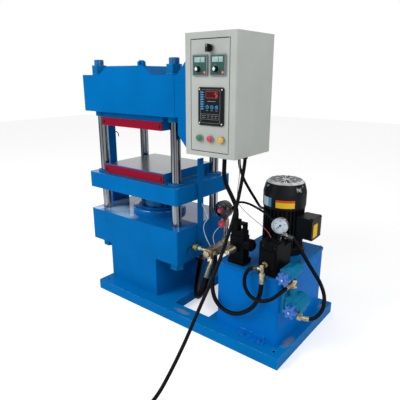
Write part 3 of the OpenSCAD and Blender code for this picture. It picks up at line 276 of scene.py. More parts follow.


# A ragged patch on up-facing faces: grime on the skid, painted reflections on the beam's top.
def ragged_patch():
    tree, given, out = group_with(
        "ragged smear", {"Place": (0.0, 0.0, 0.0), "Half Size": (0.05, 0.05, 0.03), "Depth": 0.5}, ["Mask"])
    place = place_on(tree)
    unit = vec(tree, "DIVIDE", vec(tree, "SUBTRACT", place, given["Place"]), given["Half Size"])
    ragged = calc(tree, "MULTIPLY_ADD", noise(tree, place, 55.0, 6.0), 0.9, vec(tree, "LENGTH", unit))
    here = ramp(tree, ragged, 1.5, 0.9, 0.0, given["Depth"])
    feed(tree, out, Mask=calc(tree, "MULTIPLY", here, ramp(tree, facing_up(tree), 0.6, 0.95)))
    return tree


rubbed = rubbed_spot()
smear = ragged_patch()


def wear_at(material, spots):
    tree = material.node_tree
    total = None
    for x, y, z, reach, depth in spots:
        here = effect(tree, rubbed, Place=(x, y, z), Reach=reach, Depth=depth)["Mask"]
        total = calc(tree, "ADD", total, here) if total else here
    feed(tree, tree.nodes["coat"], Rub=total)


def patch_at(material, colour, height, spots):
    for x, y, half_x, half_y, depth in spots:
        half_size = (half_x, half_y, 0.03)
        here = effect(material.node_tree, smear, Place=(x, y, height), Half_Size=half_size, Depth=depth)
        tint(material, here["Mask"], colour)


def dress(finish, *names):
    for name in names:
        node[name].data.materials.clear()
        node[name].data.materials.append(finish)


# The pale blue under colour lines the skid's edges as a painted highlight; in the rubbed spots it is worn
# paint.
skid_paint = enamel_finish("skid enamel", "0274bd", under="6fa6c6", edge=0.8)
wear_at(skid_paint, [
    (0.44, -0.235, skid_top, 0.05, 0.2), (-0.40, -0.24, skid_top, 0.06, 0.2),
    (0.10, 0.24, skid_top, 0.08, 0.25), (0.50, 0.17, skid_top, 0.06, 0.25)])
patch_at(skid_paint, "7d878f", skid_top, [
    (0.024, -0.236, 0.052, 0.016, 0.72), (0.510, -0.140, 0.02, 0.05, 0.8), (0.505, 0.21, 0.02, 0.03, 0.6),
    (-0.30, 0.24, 0.05, 0.018, 0.5)])
dress(skid_paint, "skid_frame")

# Pedestal and lower beam: a welded box that carries a steel block, bored for cylinder and columns.
# Both are sprayed; the beam's top is the glossiest face, and its pale and brown patches are painted
# reflections of the bright surround and of darker things nearby.
# Weld beads run round the pedestal's foot and under the beam.
mm = 0.001
beam_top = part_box("lower_beam")[1].z


def upward_faces():
    tree, given, out = group_with("upward faces", {"Low": 0.3, "High": 0.85, "Most": 1.0}, ["Mask"])
    feed(tree, out, Mask=ramp(tree, facing_up(tree), given["Low"], given["High"], 0.0, given["Most"]))
    return tree


upward = upward_faces()


def gloss_tops(material, weight, rough=0.08, low=0.3, high=0.85):
    tops = effect(material.node_tree, upward, Low=low, High=high, Most=weight)["Mask"]
    set_on(material, Coat_Weight=tops, Coat_Roughness=rough)


# Its pale blue edge lines are a painted highlight.
press_paint = enamel_finish("press enamel", "016cb3", edge=0.3, corner=0.001)
gloss_tops(press_paint, 0.5, low=0.9, high=0.98)
dress(enamel_finish("pedestal enamel", "016cb3", edge=0.0, corner=0.0005), "pedestal")
beam_paint = enamel_finish("beam enamel", "016cb3", edge=0.0, corner=0.0005)
gloss_tops(beam_paint, 1.0, 0.05)
# Pale patches: painted reflection of the white surround on the gloss. Brown patches: painted reflection of
# darker things nearby.
patch_at(beam_paint, "b9dcf2", beam_top, [
    (-0.49, -0.125, 0.10, 0.075, 0.95), (-0.40, -0.185, 0.09, 0.05, 0.95), (-0.60, -0.18, 0.035, 0.05, 0.9)])
patch_at(beam_paint, "96908a", beam_top, [(-0.58, 0.0, 0.06, 0.12, 0.75), (-0.10, -0.06, 0.06, 0.10, 0.5)])
dress(beam_paint, "lower_beam")


def rod_curve(name, kind, count, radius, sides, finish, steps=12):
    curve = bpy.data.curves.new(name, "CURVE")
    curve.dimensions = "3D"
    curve.bevel_depth = radius * mm
    curve.bevel_resolution = sides
    curve.resolution_u = steps
    curve.use_fill_caps = True
    curve.materials.append(finish)
    line = curve.splines.new(kind)
    knots = line.points if kind == "POLY" else line.bezier_points
    knots.add(count - 1)
    return curve, knots


def fix_rod(curve):
    rod = put_in_scene(curve.name, curve)
    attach(rod, "frame")
    return rod


def weld_bead(name, points, radius, finish=press_paint):
    ripples = []
    for a, b in zip(points, points[1:]):
        count = max(2, int((Vector(b) - Vector(a)).length / 5))
        ripples += [Vector(a).lerp(Vector(b), k / count) for k in range(count)]
    ripples.append(Vector(points[-1]))
    curve, knots = rod_curve(name, "POLY", len(ripples), radius, 3, finish)
    for i, (knot, p) in enumerate(zip(knots, ripples)):
        knot.co = (*(p * mm), 1)
        knot.radius = 1 + 0.16 * math.sin(i * 2.4) + 0.08 * math.sin(i * 0.7)
    fix_rod(curve)


def box_of(name):
    return [Vector([round(c / mm, 2) for c in corner]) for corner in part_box(name)]


low, high = box_of("pedestal")
left, right, foot, top = low.x + 1, high.x - 1, low.z + 1, high.z - 1
weld_bead("pedestal_foot_weld", [
    (left, high.y, foot), (left, low.y + 1, foot), (right, low.y + 1, foot), (right, high.y, foot)], 3.2)
weld_bead("pedestal_top_weld", [
    (left, low.y + 5, top), (left, high.y - 1, top), (right, high.y - 1, top), (right, low.y + 5, top)], 3.0)

# Cylinder: a turned barrel let into the beam, its gland ring on top, and the polished ram.
# Barrel and gland are painted with the frame; the ram's dark blue colour is a painted reflection of the blue
# parts round it.
cylinder_paint = enamel_finish("cylinder enamel", "016db4", edge=0.2, gloss=0.12, shine=0.06)
gloss_tops(cylinder_paint, 1.0, 0.04, 0.05, 0.5)
dress(cylinder_paint, "cylinder_barrel", "gland_ring")


def honed_chrome():
    tree, given, out = group_with("honed chrome", {"Metal": (0.5, 0.5, 0.5, 1), "Low": 0.1, "High": 0.2})
    place = place_on(tree)
    hone = noise(tree, vec(tree, "MULTIPLY", place, (1.0, 1.0, 14.0)), 40.0, 4.0)
    mottle = ramp(tree, noise(tree, place, 7.0, 5.0), 0.3, 0.7, 0.82, 1.05)
    feed(tree, out, Color=vec(tree, "SCALE", given["Metal"], scale=mottle), Height=hone,
         Roughness=ramp(tree, hone, 0, 1, given["Low"], given["High"]))
    return tree


chrome = honed_chrome()


def chrome_finish(name, colour, low, high):
    material = coated(name, chrome, 0.03, 0.0003, Metal=colour, Low=low, High=high)
    set_on(material, Metallic=1.0)
    return material


# The ram's dark blue metal colour is a painted reflection, not the chrome's own colour.
dress(chrome_finish("ram blue-black", "1d4670", 0.16, 0.28), "ram")

# Columns and nuts: chromed bars with painted hexagon nuts above and below,
# and a painted collar where each enters the crosshead. The spray reached the threads above the nuts too.
crosshead_top = 1093


def column_finish():
    # The dark chrome colour and the vertical light and dark streaks in it are painted reflections of the
    # darker surroundings.
    material = chrome_finish("column chrome", "969ca3", 0.06, 0.16)
    tree = material.node_tree
    place = place_on(tree)
    height = axis(tree, place, "Z")
    sprayed = ramp(tree, height, (crosshead_top - 0.5) * mm, (crosshead_top + 0.5) * mm)
    lines = noise(tree, vec(tree, "MULTIPLY", place, (1.0, 1.0, 0.012)), 95.0, 3.0)
    streak_reflection = ramp(tree, lines, 0.36, 0.64, 0.3, 1.15)
    set_on(material, Base_Color=vec(tree, "SCALE", tree.nodes["coat"].outputs["Color"], scale=streak_reflection),
           Metallic=ramp(tree, sprayed, 0, 1, 1.0, 0.0))
    tint(material, sprayed, "0165a8")
    return material


dress(column_finish(), "tie_columns")
dress(enamel_finish("nut enamel", "0873b0", edge=1.0, gloss=0.18), "column_nuts")

# Crosshead: a steel block with a welded stiffening hump and two lifting lugs, painted all over.
# A weld bead runs along the hump's foot and round each lug; the upper insulation is painted with it.
hump_top = 1130
dress(press_paint, "crosshead", "upper_insulation")
low, high = box_of("crosshead")
for end, y in (("front", low.y + 1), ("back", high.y - 1)):
    weld_bead("hump_weld_" + end, [
        (-500, y, crosshead_top), (-448, y, hump_top), (-212, y, hump_top), (-160, y, crosshead_top)], 1.6)
for end, y in (("front", low.y + 15), ("back", high.y - 15)):
    corners = [(-247, y - 9), (-213, y - 9), (-213, y + 9), (-247, y + 9), (-247, y - 9)]
    weld_bead("lug_weld_" + end, [(*corner, hump_top) for corner in corners], 2.2)

# Table: the moving plate on the ram, painted, with painted bushes that run on the columns.
# A board of pressed fibre lies under the heated platen.
table_paint = enamel_finish("table enamel", "016db5", edge=0.7)
gloss_tops(table_paint, 0.8)
dress(table_paint, "table")
dress(enamel_finish("bush enamel", "0165a8", edge=1.2, gloss=0.2), "table_bushes")


def fine_grain():
    tree, given, out = group_with("fine grain", {
        "Colour": (0.5, 0.5, 0.5, 1), "Dullness": 0.4, "Grain": 260.0, "Spread": 0.08})
    place = place_on(tree)
    cloud = noise(tree, place, calc(tree, "DIVIDE", given["Grain"], 18.0), 4.0)
    darkest = calc(tree, "SUBTRACT", 1.0, given["Spread"])
    tone = ramp(tree, cloud, 0.3, 0.7, darkest, calc(tree, "ADD", 1.0, given["Spread"]))
    sharpest = calc(tree, "SUBTRACT", given["Dullness"], 0.08)
    feed(tree, out, Color=vec(tree, "SCALE", given["Colour"], scale=tone),
         Roughness=ramp(tree, cloud, 0, 1, sharpest, calc(tree, "ADD", given["Dullness"], 0.08)),
         Height=noise(tree, place, given["Grain"], 3.0))
    return tree


grain_group = fine_grain()


def plain_finish(name, colour, dullness, grain=260.0, spread=0.08, metallic=0.0, depth=0.0003, shine=0.5):
    material = coated(name, grain_group, 0.15, depth,
                      Colour=colour, Dullness=dullness, Grain=grain, Spread=spread)
    set_on(material, Metallic=metallic, Specular_IOR_Level=shine)
    return material


dress(plain_finish("fibre board", "6b6e66", 0.7), "lower_insulation")

# Platens: ground steel plates with heater rods through them; the working faces are bare, the edges painted.
# Red cover strips close the rod ends and are held by a screw at each end.


def planed_steel():
    tree, given, out = group_with(
        "planed steel", {"Metal": (0.6, 0.6, 0.6, 1), "Stain": 0.3, "Polish": 0.3}, ("Color", "Roughness"))
    place = place_on(tree)
    feed_marks = noise(tree, vec(tree, "MULTIPLY", place, (0.03, 1.0, 0.03)), 220.0, 3.0)
    cloud = noise(tree, place, 9.0, 6.0)
    soil = calc(tree, "MULTIPLY", ramp(tree, cloud, 0.45, 0.75), given["Stain"])
    bright = vec(tree, "SCALE", given["Metal"], scale=ramp(tree, feed_marks, 0, 1, 0.88, 1.08))
    feed(tree, out, Color=blend(tree, soil, bright, (0.30, 0.28, 0.26, 1)),
         Roughness=calc(tree, "MULTIPLY_ADD", cloud, 0.16, given["Polish"]))
    return tree


planed = planed_steel()


# The bare face looks up where side is 1, and down where it is -1.
def planed_finish(name, paint, side, metal, stain, polish=0.2):
    material = enamel_finish(name, paint, edge=0.7)
    tree = material.node_tree
    bare = effect(tree, planed, Metal=metal, Stain=stain, Polish=polish)
    flat = effect(tree, upward, Low=0.88 * side, High=0.92 * side)["Mask"]
    rough = wire(tree, "Mix", i0=flat, i2=tree.nodes["coat"].outputs["Roughness"], i3=bare["Roughness"])
    tint(material, flat, bare["Color"])
    set_on(material, Roughness=rough.outputs[0], Metallic=flat)
    return material


# The lower platen's bare face gets a darker steel than the upper one's; the difference is a painted darker
# reflection.
dress(planed_finish("lower platen", "016cb3", 1, "7f8587", 0.4, 0.14), "lower_platen")
dress(planed_finish("upper platen", "0168ae", -1, "d5d7d8", 0.2), "upper_platen")
strip_paint = enamel_finish("strip enamel", "94152f", under="70605a", edge=0.8, gloss=0.25)
dress(strip_paint, "upper_strips", "lower_strips")
dress(plain_finish("heater steel", "8d8f92", 0.4, metallic=1.0), "upper_heaters", "lower_heaters")


def turned(start, end, radius, sides=24, tip=None):
    start, end = Vector(start), Vector(end)
    along = end - start
    matrix = Matrix.Translation((start + end) / 2) @ along.to_track_quat("Z", "Y").to_matrix().to_4x4()
    return lambda bm: bmesh.ops.create_cone(
        bm, cap_ends=True, segments=sides, radius1=radius, radius2=radius if tip is None else tip,
        depth=along.length, matrix=matrix)


def block(low, high):
    size = [b - a for a, b in zip(low, high)]
    middle = [(a + b) / 2 for a, b in zip(low, high)]
    matrix = Matrix.Translation(middle) @ Matrix.Diagonal((*size, 1))
    return lambda bm: bmesh.ops.create_cube(bm, size=1.0, matrix=matrix)


def cap_screw(place, outward, radius, height, sides=20):
    p, n = Vector(place), Vector(outward).normalized()
    neck = p + n * height * 0.7
    return [turned(p, neck, radius, sides), turned(neck, p + n * height, radius, sides, radius * 0.82),
            turned(neck, p + n * (height + 0.2), radius * 0.42, 6)]


def add_shapes(bm, shapes):
    for shape in shapes:
        if callable(shape):
            shape(bm)
        else:
            add_shapes(bm, shape)


def fix_piece(name, finish, body, shapes, edge=0.0):
    bm = bmesh.new()
    add_shapes(bm, shapes)
    bmesh.ops.scale(bm, vec=(mm, mm, mm), verts=bm.verts)
    bmesh.ops.recalc_face_normals(bm, faces=bm.faces)
    for f in bm.faces:
        f.smooth = True
    for e in bm.edges:
        e.smooth = len(e.link_faces) == 2 and e.calc_face_angle(3.1) < math.radians(35)
    mesh = bpy.data.meshes.new(name)
    bm.to_mesh(mesh)
    bm.free()
    mesh.materials.append(finish)
    piece = put_in_scene(name, mesh)
    if edge:
        soft = piece.modifiers.new("soft edges", "BEVEL")
        soft.width = edge * mm
        soft.segments = 2
        soft.limit_method = "ANGLE"
        soft.angle_limit = math.radians(40)
    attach(piece, body)
    return piece


socket_black = plain_finish("blacked screws", "1b1c1e", 0.4, metallic=0.4, grain=400)
for which, body in (("upper", "frame"), ("lower", "table")):
    low, high = box_of(which + "_strips")
    fix_piece(which + "_strip_screws", socket_black, body, [
        cap_screw((x, high.y * out, (low.z + high.z) / 2), (0, out, 0), 6.5, 5)
        for out in (-1, 1) for x in (low.x + 14, high.x - 14)])

# Limit bars: flat bars bolted to the sides of beam and crosshead on thin spacers.
# The right one carries the wire of the stroke switch, the left one a small hook.


def hex_bolt(place, outward, flats, height):
    p, n = Vector(place), Vector(outward).normalized()
    corners = flats / math.sqrt(3)
    return [turned(p, p + n * 1.6, flats * 0.72, 28), turned(p + n * 1.6, p + n * (height - 1), corners, 6),
            turned(p + n * (height - 1), p + n * height, corners, 6, flats * 0.46)]


dress(press_paint, "limit_bars")
low, high = box_of("limit_bars")
right_bolts = [hex_bolt((high.x - back, -44, z), (1, 0, 0), 15, 9)
               for back, z in ((0, 318), (0, 391), (7, 521), (7, 717))]
left_bolts = [hex_bolt((low.x, y, z), (-1, 0, 0), 15, 9) for y, z in ((-40, 356), (40, 356), (-38, 953))]
fix_piece("limit_bar_bolts", press_paint, "frame", [right_bolts, left_bolts], edge=0.4)
hook_x = low.x + 4
hook_route = [(-18, 784), (-12, 792), (-3, 796), (7, 792), (13, 782), (14, 769)]
hook_wire = plain_finish("hook wire", "2f3b42", 0.4, metallic=0.5)
hook, hook_knots = rod_curve("bar_hook", "BEZIER", len(hook_route), 2.6, 4, hook_wire)
for knot, (y, z) in zip(hook_knots, hook_route):
    knot.co = Vector((hook_x, y, z)) * mm
    knot.handle_left_type = knot.handle_right_type = "AUTO"
fix_rod(hook)

# Cabinet bracket: two folded gussets between a thick plate on the crosshead
# and a plate on the cabinet's back, painted with the press.
dress(press_paint, "cabinet_bracket")

# Cabinet: folded and welded sheet, powder-coated light grey, with a lipped door opening and glands below.
# Inside is a zinc plate with rails for terminals, three contactors and a breaker,
# each with its own moulding, screws and front, and a slotted duct for the wires.
panel_rows = {"terminals": 903, "contactors": 1027, "breaker": 1149}
contactor_x = (121.5, 179.5, 237.5)
cabinet_grey = enamel_finish(
    "cabinet powder coat", "b3b7b3", under="8d8c86", edge=0.2, gloss=0.34, shine=0.15)
dress(cabinet_grey, "cabinet_box")
bright_steel = plain_finish("bright steel", "b4b7ba", 0.3, metallic=1.0, grain=400)
dress(bright_steel, "hinge_pins")
black_nylon = plain_finish("black nylon", "101113", 0.45, shine=0.2)
dress(black_nylon, "cable_glands")


def panel_finish():
    material = plain_finish("panel zinc", "c7c5b2", 0.4, shine=0.4)
    tree = material.node_tree
    place = wire(tree, "SeparateXYZ", Vector=place_on(tree)).outputs
    proud = ramp(tree, place["Y"], -0.0435, -0.0445)
    for z, moulding in zip(panel_rows.values(), ("b8b39d", "2a2c2f", "dfe0dc")):
        in_row = calc(tree, "COMPARE", place["Z"], z * mm, 0.045)
        tint(material, calc(tree, "MULTIPLY", in_row, proud), moulding)
    return material


dress(panel_finish(), "electrical_panel")
fix_piece("panel_rails", bright_steel, "frame", [
    block((112, -50, z - 17), (295, -43, z + 17)) for z in panel_rows.values()], edge=0.3)
contactor_fronts = [[block((x + 5, -110, 1004), (x + 40, -104.5, 1050)),
                     block((x + 14, -113, 1018), (x + 31, -109.5, 1036))] for x in contactor_x]
breaker_lever = block((126, -109, 1140), (171, -100.5, 1158))
fix_piece("panel_fronts", plain_finish("contactor front", "55595f", 0.4, shine=0.3), "frame",
          [contactor_fronts, breaker_lever], edge=0.6)
screw_places = [(x + step, -105, z) for z in (994, 1060) for x in contactor_x for step in (8, 22.5, 37)]
screw_places += [(130.5 + 16 * k, -77, z) for k in range(10) for z in (887, 919)]
screw_places += [(x, -101, z) for x in (130.5, 148.5, 166.5) for z in (1114, 1184)]
fix_piece("panel_screws", bright_steel, "frame", [
    cap_screw(place, (0, -1, 0), 3.2, 1.5, 14) for place in screw_places])
duct_fingers = [block((x, -82.5, z), (x + 4.6, -42.5, z + 2))
                for z in (946, 972) for x in [115 + 7.8 * k for k in range(23)]]
fix_piece("panel_duct", plain_finish("duct grey", "aeb3b6", 0.5, shine=0.3), "frame",
          [block((114, -86, 946), (293, -82, 974)), duct_fingers], edge=0.3)

# Door: a shallow sheet pan cut for the instruments, coated like the cabinet
# and hung on two pins at its right edge.
dress(cabinet_grey, "cabinet_door")

# Temperature controllers: square cases with a green front, a scale window, a setting knob and a red lamp.
# They are clipped into the door, and a terminal strip with screws closes the back of each.
inward = Vector((0, 1, 0))
meter_low, meter_high = box_of("temperature_controllers")
meter_face, meter_back = meter_low.y + 5, meter_high.y + 7
meter_z = (meter_low.z + meter_high.z) / 2
knob_offset = -7


def front_of(name):
    low, high = box_of(name)
    return Vector(((low.x + high.x) / 2, low.y, (low.z + high.z) / 2))


# A bar on a front, between two heights above the front's middle point.
def front_bar(centre, x0, z0, x1, z1, top, foot):
    low = (centre.x + x0, centre.y - top, centre.z + z0)
    return block(low, (centre.x + x1, centre.y - foot, centre.z + z1))


dress(plain_finish("meter case", "767c82", 0.4, shine=0.3), "temperature_controllers")
green_front = plain_finish("meter green", "1d5149", 0.35, shine=0.3)
scale_white = plain_finish("scale white", "e3eae6", 0.4)
scale_pale = plain_finish("scale pale", "8fb3b1", 0.4)
dial_black = plain_finish("dial black", "141516", 0.45)


def lamp_glow():
    tree, given, out = group_with(
        "lamp glow", {"Deep": (0.7, 0.1, 0.1, 1), "Bright": (0.9, 0.2, 0.1, 1), "Grain": 90.0}, ["Color"])
    feed(tree, out, Color=blend(tree, noise(tree, None, given["Grain"]), given["Deep"], given["Bright"]))
    return tree


glow = lamp_glow()


def lit_finish(name, deep, bright, grain, strength, dullness):
    material, tree, shader = blank_finish(name)
    tone = effect(tree, glow, Deep=deep, Bright=bright, Grain=grain)["Color"]
    feed(tree, shader, Base_Color=tone, Emission_Color=tone, Emission_Strength=strength, Roughness=dullness)
    return material


lamp_red = lit_finish("lamp red", "d8463f", "f0776a", 90.0, 0.35, 0.25)


def figures(words, place, height, across=(1, 0, 0), up=(0, 0, 1)):
    def make(bm):
        text = bpy.data.curves.new("figures", "FONT")
        text.body = words
        text.size = height
        text.align_x = text.align_y = "CENTER"
        text.extrude = 0.05
        holder = bpy.data.objects.new("figures", text)
        mesh = bpy.data.meshes.new_from_object(holder)
        right, top = Vector(across).normalized(), Vector(up).normalized()
        basis = Matrix((right, top, right.cross(top))).transposed().to_4x4()
        mesh.transform(Matrix.Translation(place) @ basis)
        bm.from_mesh(mesh)
        bpy.data.objects.remove(holder)
        bpy.data.curves.remove(text)
        bpy.data.meshes.remove(mesh)
    return make


def scale_marks(centre):
    marks = []
    for k in range(21):
        a = math.radians(-50 + 5 * k)
        (x0, z0), (x1, z1) = [(r * math.sin(a) * 0.75, r * math.cos(a) - 20)
                              for r in (34, 37.4 if k % 5 == 0 else 36)]
        if z0 > 11:
            marks.append(front_bar(centre, min(x0, x1) - 0.3, z0, max(x0, x1) + 0.3, z1, 1.1, 0.6))
    return marks


setting_knobs = {side: front_of(side + "_setting_knob") for side in ("left", "right")}
for side, knob in setting_knobs.items():
    centre = Vector((knob.x - knob_offset, meter_face, meter_z))
    fix_piece(side + "_meter_front", green_front, "door", [
        front_bar(centre, -29, -32.5, 29, 32.5, 0.2, -1.5)], edge=0.6)
    fix_piece(side + "_meter_scale", scale_pale, "door", [
        front_bar(centre, -23, 10, 23, 28, 0.8, 0.0)], edge=0.3)
    numbers = [figures(number, centre + Vector((11 * k - 16.5, -1.0, 22.5)), 6.2)
               for k, number in enumerate(("0", "100", "200", "300"))]
    fix_piece(side + "_meter_ink", scale_white, "door", [scale_marks(centre), numbers])
    fix_piece(side + "_meter_hand", dial_black, "door", [
        front_bar(centre, 4, 11, 5.2, 26, 1.5, 1.1)])
    lamp_place = centre + Vector((23, 0, -25))
    fix_piece(side + "_meter_lamp", lamp_red, "door", [
        turned(lamp_place + inward * 1.2, lamp_place - inward * 1.6, 4.8, 24, 4.0)], edge=0.8)
    dots = []
    for a in [math.radians(-135 + 22.5 * k) for k in range(13)]:
        dot = Vector((knob.x + 14 * math.sin(a), meter_face - 0.6, knob.z + 14 * math.cos(a)))
        dots.append(turned(dot, dot + inward * 0.6, 0.7, 8))
    fix_piece(side + "_meter_dots", scale_white, "door", dots)
    fix_piece(side + "_meter_terminals", black_nylon, "door", [
        block((centre.x - 24, meter_back - 7.5, meter_z - 9), (centre.x + 24, meter_back, meter_z + 9))
    ], edge=0.6)
    fix_piece(side + "_meter_terminal_screws", bright_steel, "door", [
        cap_screw((centre.x - 20 + 8 * k, meter_back, meter_z), inward, 2.8, 1.2, 14) for k in range(6)])
dress(black_nylon, "left_setting_knob", "right_setting_knob")
for side, knob in setting_knobs.items():
    fix_piece(side + "_knob_cap", scale_white, side + "_setting", [
        turned(knob + inward * 0.3, knob - inward * 0.7, 6.2, 28, 5.6),
        front_bar(knob, -0.9, 0, 0.9, 8, 0.5, -0.2)], edge=0.3)

# Press timer: a black film front on a moulded case, with a red counter, three round film keys
# and a column of blue indicator marks; four pan screws hold it, and two terminal strips close its back.
timer = front_of("press_timer")
timer_back = box_of("press_timer")[1].y + 9
terminal_rows = [timer.z - 27, timer.z + 27]
key_x, key_z = (-15, 6, 27), -2
dress(black_nylon, "press_timer")
timer_film = plain_finish("timer film", "0c0e12", 0.3, shine=0.15)
film_blue = plain_finish("film blue", "3c9ad6", 0.35, shine=0.2)


def timer_bar(x0, z0, x1, z1, top=1.3, foot=0.9):
    return front_bar(timer, x0, z0, x1, z1, top, foot)


def timer_disc(x, foot, top, radius, sides=32, tip=None):
    middle = timer + Vector((x, 0, key_z))
    return turned(middle - inward * foot, middle - inward * top, radius, sides, tip)


fix_piece("timer_front", timer_film, "door", [
    timer_bar(-53, -64, 53, 64, 1.0, -0.2)], edge=0.5)
terminal_green = plain_finish("terminal green", "2f7d55", 0.4, shine=0.3)
fix_piece("timer_terminals", terminal_green, "door", [
    block((timer.x - 40, timer_back - 9.5, z - 8), (timer.x + 40, timer_back, z + 8))
    for z in terminal_rows], edge=0.6)
fix_piece("timer_terminal_screws", bright_steel, "door", [
    cap_screw((timer.x - 36 + 8 * k, timer_back, z), inward, 2.6, 1.2, 14)
    for z in terminal_rows for k in range(10)])
fix_piece("timer_screws", plain_finish("zinc screws", "e2e4e4", 0.4, metallic=0.3), "door", [
    cap_screw(timer + Vector((x, -1, z)), -inward, 2.8, 1.8) for x in (-50, 50) for z in (-60, 60)])
fix_piece("timer_window", plain_finish("counter window", "4c1012", 0.3, shine=0.1), "door", [
    timer_bar(-20, 31, 31, 53, 1.8, 0.8)], edge=0.4)


def digit(place, strokes):
    wide, tall, half_stroke = 4.0, 7.0, 0.6
    middles = {"a": (0, tall), "b": (wide, tall / 2), "c": (wide, -tall / 2), "d": (0, -tall),
               "e": (-wide, -tall / 2), "f": (-wide, tall / 2), "g": (0, 0)}
    bars = []
    for stroke in strokes:
        x, z = middles[stroke][0] - 13 + 12.4 * place, middles[stroke][1] + 42
        dx, dz = (wide - 0.9, half_stroke) if stroke in "adg" else (half_stroke, tall / 2 - 0.9)
        bars.append(timer_bar(x - dx, z - dz, x + dx, z + dz, 2.1, 1.7))
    return bars


fix_piece("timer_dim_digits", plain_finish("unlit red", "561417", 0.3, shine=0.1), "door", [
    digit(place, "abcdef") for place in range(3)])
fix_piece("timer_lit_digit", lit_finish("lit red", "ff3a30", "ff6a58", 60.0, 0.7, 0.5), "door",
          digit(3, "acdfg"))
marks = []
for z in [50 - 8.4 * k for k in range(8)]:
    marks.append(timer_bar(-44, z - 2.4, -33, z + 2.4, 1.4))
    marks.append(timer_bar(-31, z - 1.5, -28.5, z + 1.5, 1.4))
fix_piece("timer_marks", film_blue, "door", marks, edge=0.2)
fix_piece("timer_keys", film_blue, "door", [
    timer_disc(x, 0.8, 2.0, 7.0, tip=6.4) for x in key_x], edge=0.3)
fix_piece("timer_key_centres", timer_film, "door", [
    timer_disc(x, 1.8, 2.3, 4.6) for x in key_x])
fix_piece("timer_key_signs", film_blue, "door", [
    timer_bar(key_x[0] - 2.4, key_z - 0.7, key_x[0] + 2.4, key_z + 0.7, 2.6, 2.2),
    timer_disc(key_x[1], 2.6, 2.2, 2.6, 3), timer_disc(key_x[2], 2.6, 2.2, 2.2, 24)])
lines = [timer_bar(*ends) for ends in (
    (-44, -46, 36, -45.2), (-44, -26.8, 36, -26), (-44, -46, -43.2, -26), (35.2, -46, 36, -26),
    (-14, 18, 22, 19.6))]
for start, end in ((-38, -20), (-15, -4), (2, 14), (19, 30)):
    lines += [timer_bar(start, -33.5, end, -32), timer_bar(start, -40.5, end - 3, -39)]
lines += [timer_bar(x - 5, -14.5, x + 5, -13.3) for x in key_x]
rim = []
for corner_x, corner_z, first in ((34, 51, 0), (-38, 51, 90), (-38, -51, 180), (34, -51, 270)):
    for a in [math.radians(first + 15 * k) for k in range(7)]:
        rim.append(timer + Vector((corner_x + 8 * math.cos(a), -1.1, corner_z + 8 * math.sin(a))))
lines += [turned(start, end, 0.45, 8) for start, end in zip(rim, rim[1:] + rim[:1])]
fix_piece("timer_lines", plain_finish("film grey", "98a0a4", 0.4, shine=0.2), "door", lines)
fix_piece("timer_window_frame", plain_finish("window rim", "b0565a", 0.35), "door", [
    timer_bar(*ends, 2.0, 0.8)
    for ends in ((-21, 30, 32, 31), (-21, 53, 32, 54), (-21, 30, -20, 54), (31, 30, 32, 54))])

# Switches: moulded collars with a spring-back button each in green, red and yellow,
# and a black wing knob above the meters for the main switch.
dress(plain_finish("switch collars", "a3a8aa", 0.3, metallic=0.6), "switch_bodies")


def moulded_finish(name, colour, dullness=0.28):
    material = plain_finish(name, colour, dullness, grain=500, spread=0.05, depth=0.0001)
    set_on(material, Coat_Weight=0.4, Subsurface_Weight=0.05)
    return material


dress(moulded_finish("green button", "176a4a"), "start_button")
dress(moulded_finish("red button", "bd2b4a"), "stop_button")
dress(moulded_finish("yellow button", "dba51e"), "open_button")
dress(black_nylon, "power_knob")
fix_piece("power_knob_line", scale_white, "power", [
    front_bar(front_of("power_knob"), -0.8, 3, 0.8, 12, 0.4, -0.1)], edge=0.2)

# Oil tank: a folded and welded sheet box on the skid with bolted foot angles, and a thick lid.
# Its blue is a little purer than the press's; the pale blue along the tank's and lid's edges is a painted
# highlight, and the lid is lightly rubbed near its edges.
lid_top = box_of("tank_lid")[1].z
tank_paint = enamel_finish("tank enamel", "0370c6", gloss=0.2)
dress(tank_paint, "oil_tank")
lid_paint = enamel_finish("lid enamel", "066bb4", under="6fa0bf", edge=0.5)
wear_at(lid_paint, [(0.44, 0.0, lid_top * mm, 0.1, 0.2), (0.48, 0.19, lid_top * mm, 0.05, 0.3),
                    (0.20, -0.20, lid_top * mm, 0.04, 0.3)])
dress(lid_paint, "tank_lid")
fix_piece("tank_foot_bolts", tank_paint, "frame", [
    hex_bolt((x, y, 54), (0, 0, 1), 13, 8) for y in (-219, 226) for x in (340.5, 416.5)], edge=0.3)
lid_bolts = ((205, -195), (205, 5), (205, 205), (345, 207), (476, 205), (476, 5), (350, -196))
fix_piece("tank_bolts", plain_finish("dull bolts", "6a6f76", 0.4, metallic=0.9), "frame", [
    hex_bolt((x, y, lid_top), (0, 0, 1), 10, 7) for x, y in lid_bolts], edge=0.3)
weld_bead("tank_front_weld", [(197, -206, 51), (318, -206, 51)], 2.4, tank_paint)
weld_bead("tank_side_weld", [(487, -204, 51), (487, 214, 51)], 2.4, tank_paint)

# Motor: a flange motor with cast cooling fins and a pressed fan cover, sprayed semi-gloss black.
# The cover's top is painted pale between its two rings of slots as a painted highlight, and its rim is
# chipped.
# Its terminal box is a casting on the right with a screwed lid; plain plates mark both.
low, high = box_of("fan_cover")
motor_x, motor_y = (low.x + high.x) / 2, (low.y + high.y) / 2
terminal_face = box_of("terminal_box")[1].x
motor_black = enamel_finish("motor enamel", "12161a", under="3c3d3f", edge=0.4, gloss=0.34, shine=0.1)
dress(motor_black, "motor_frame")


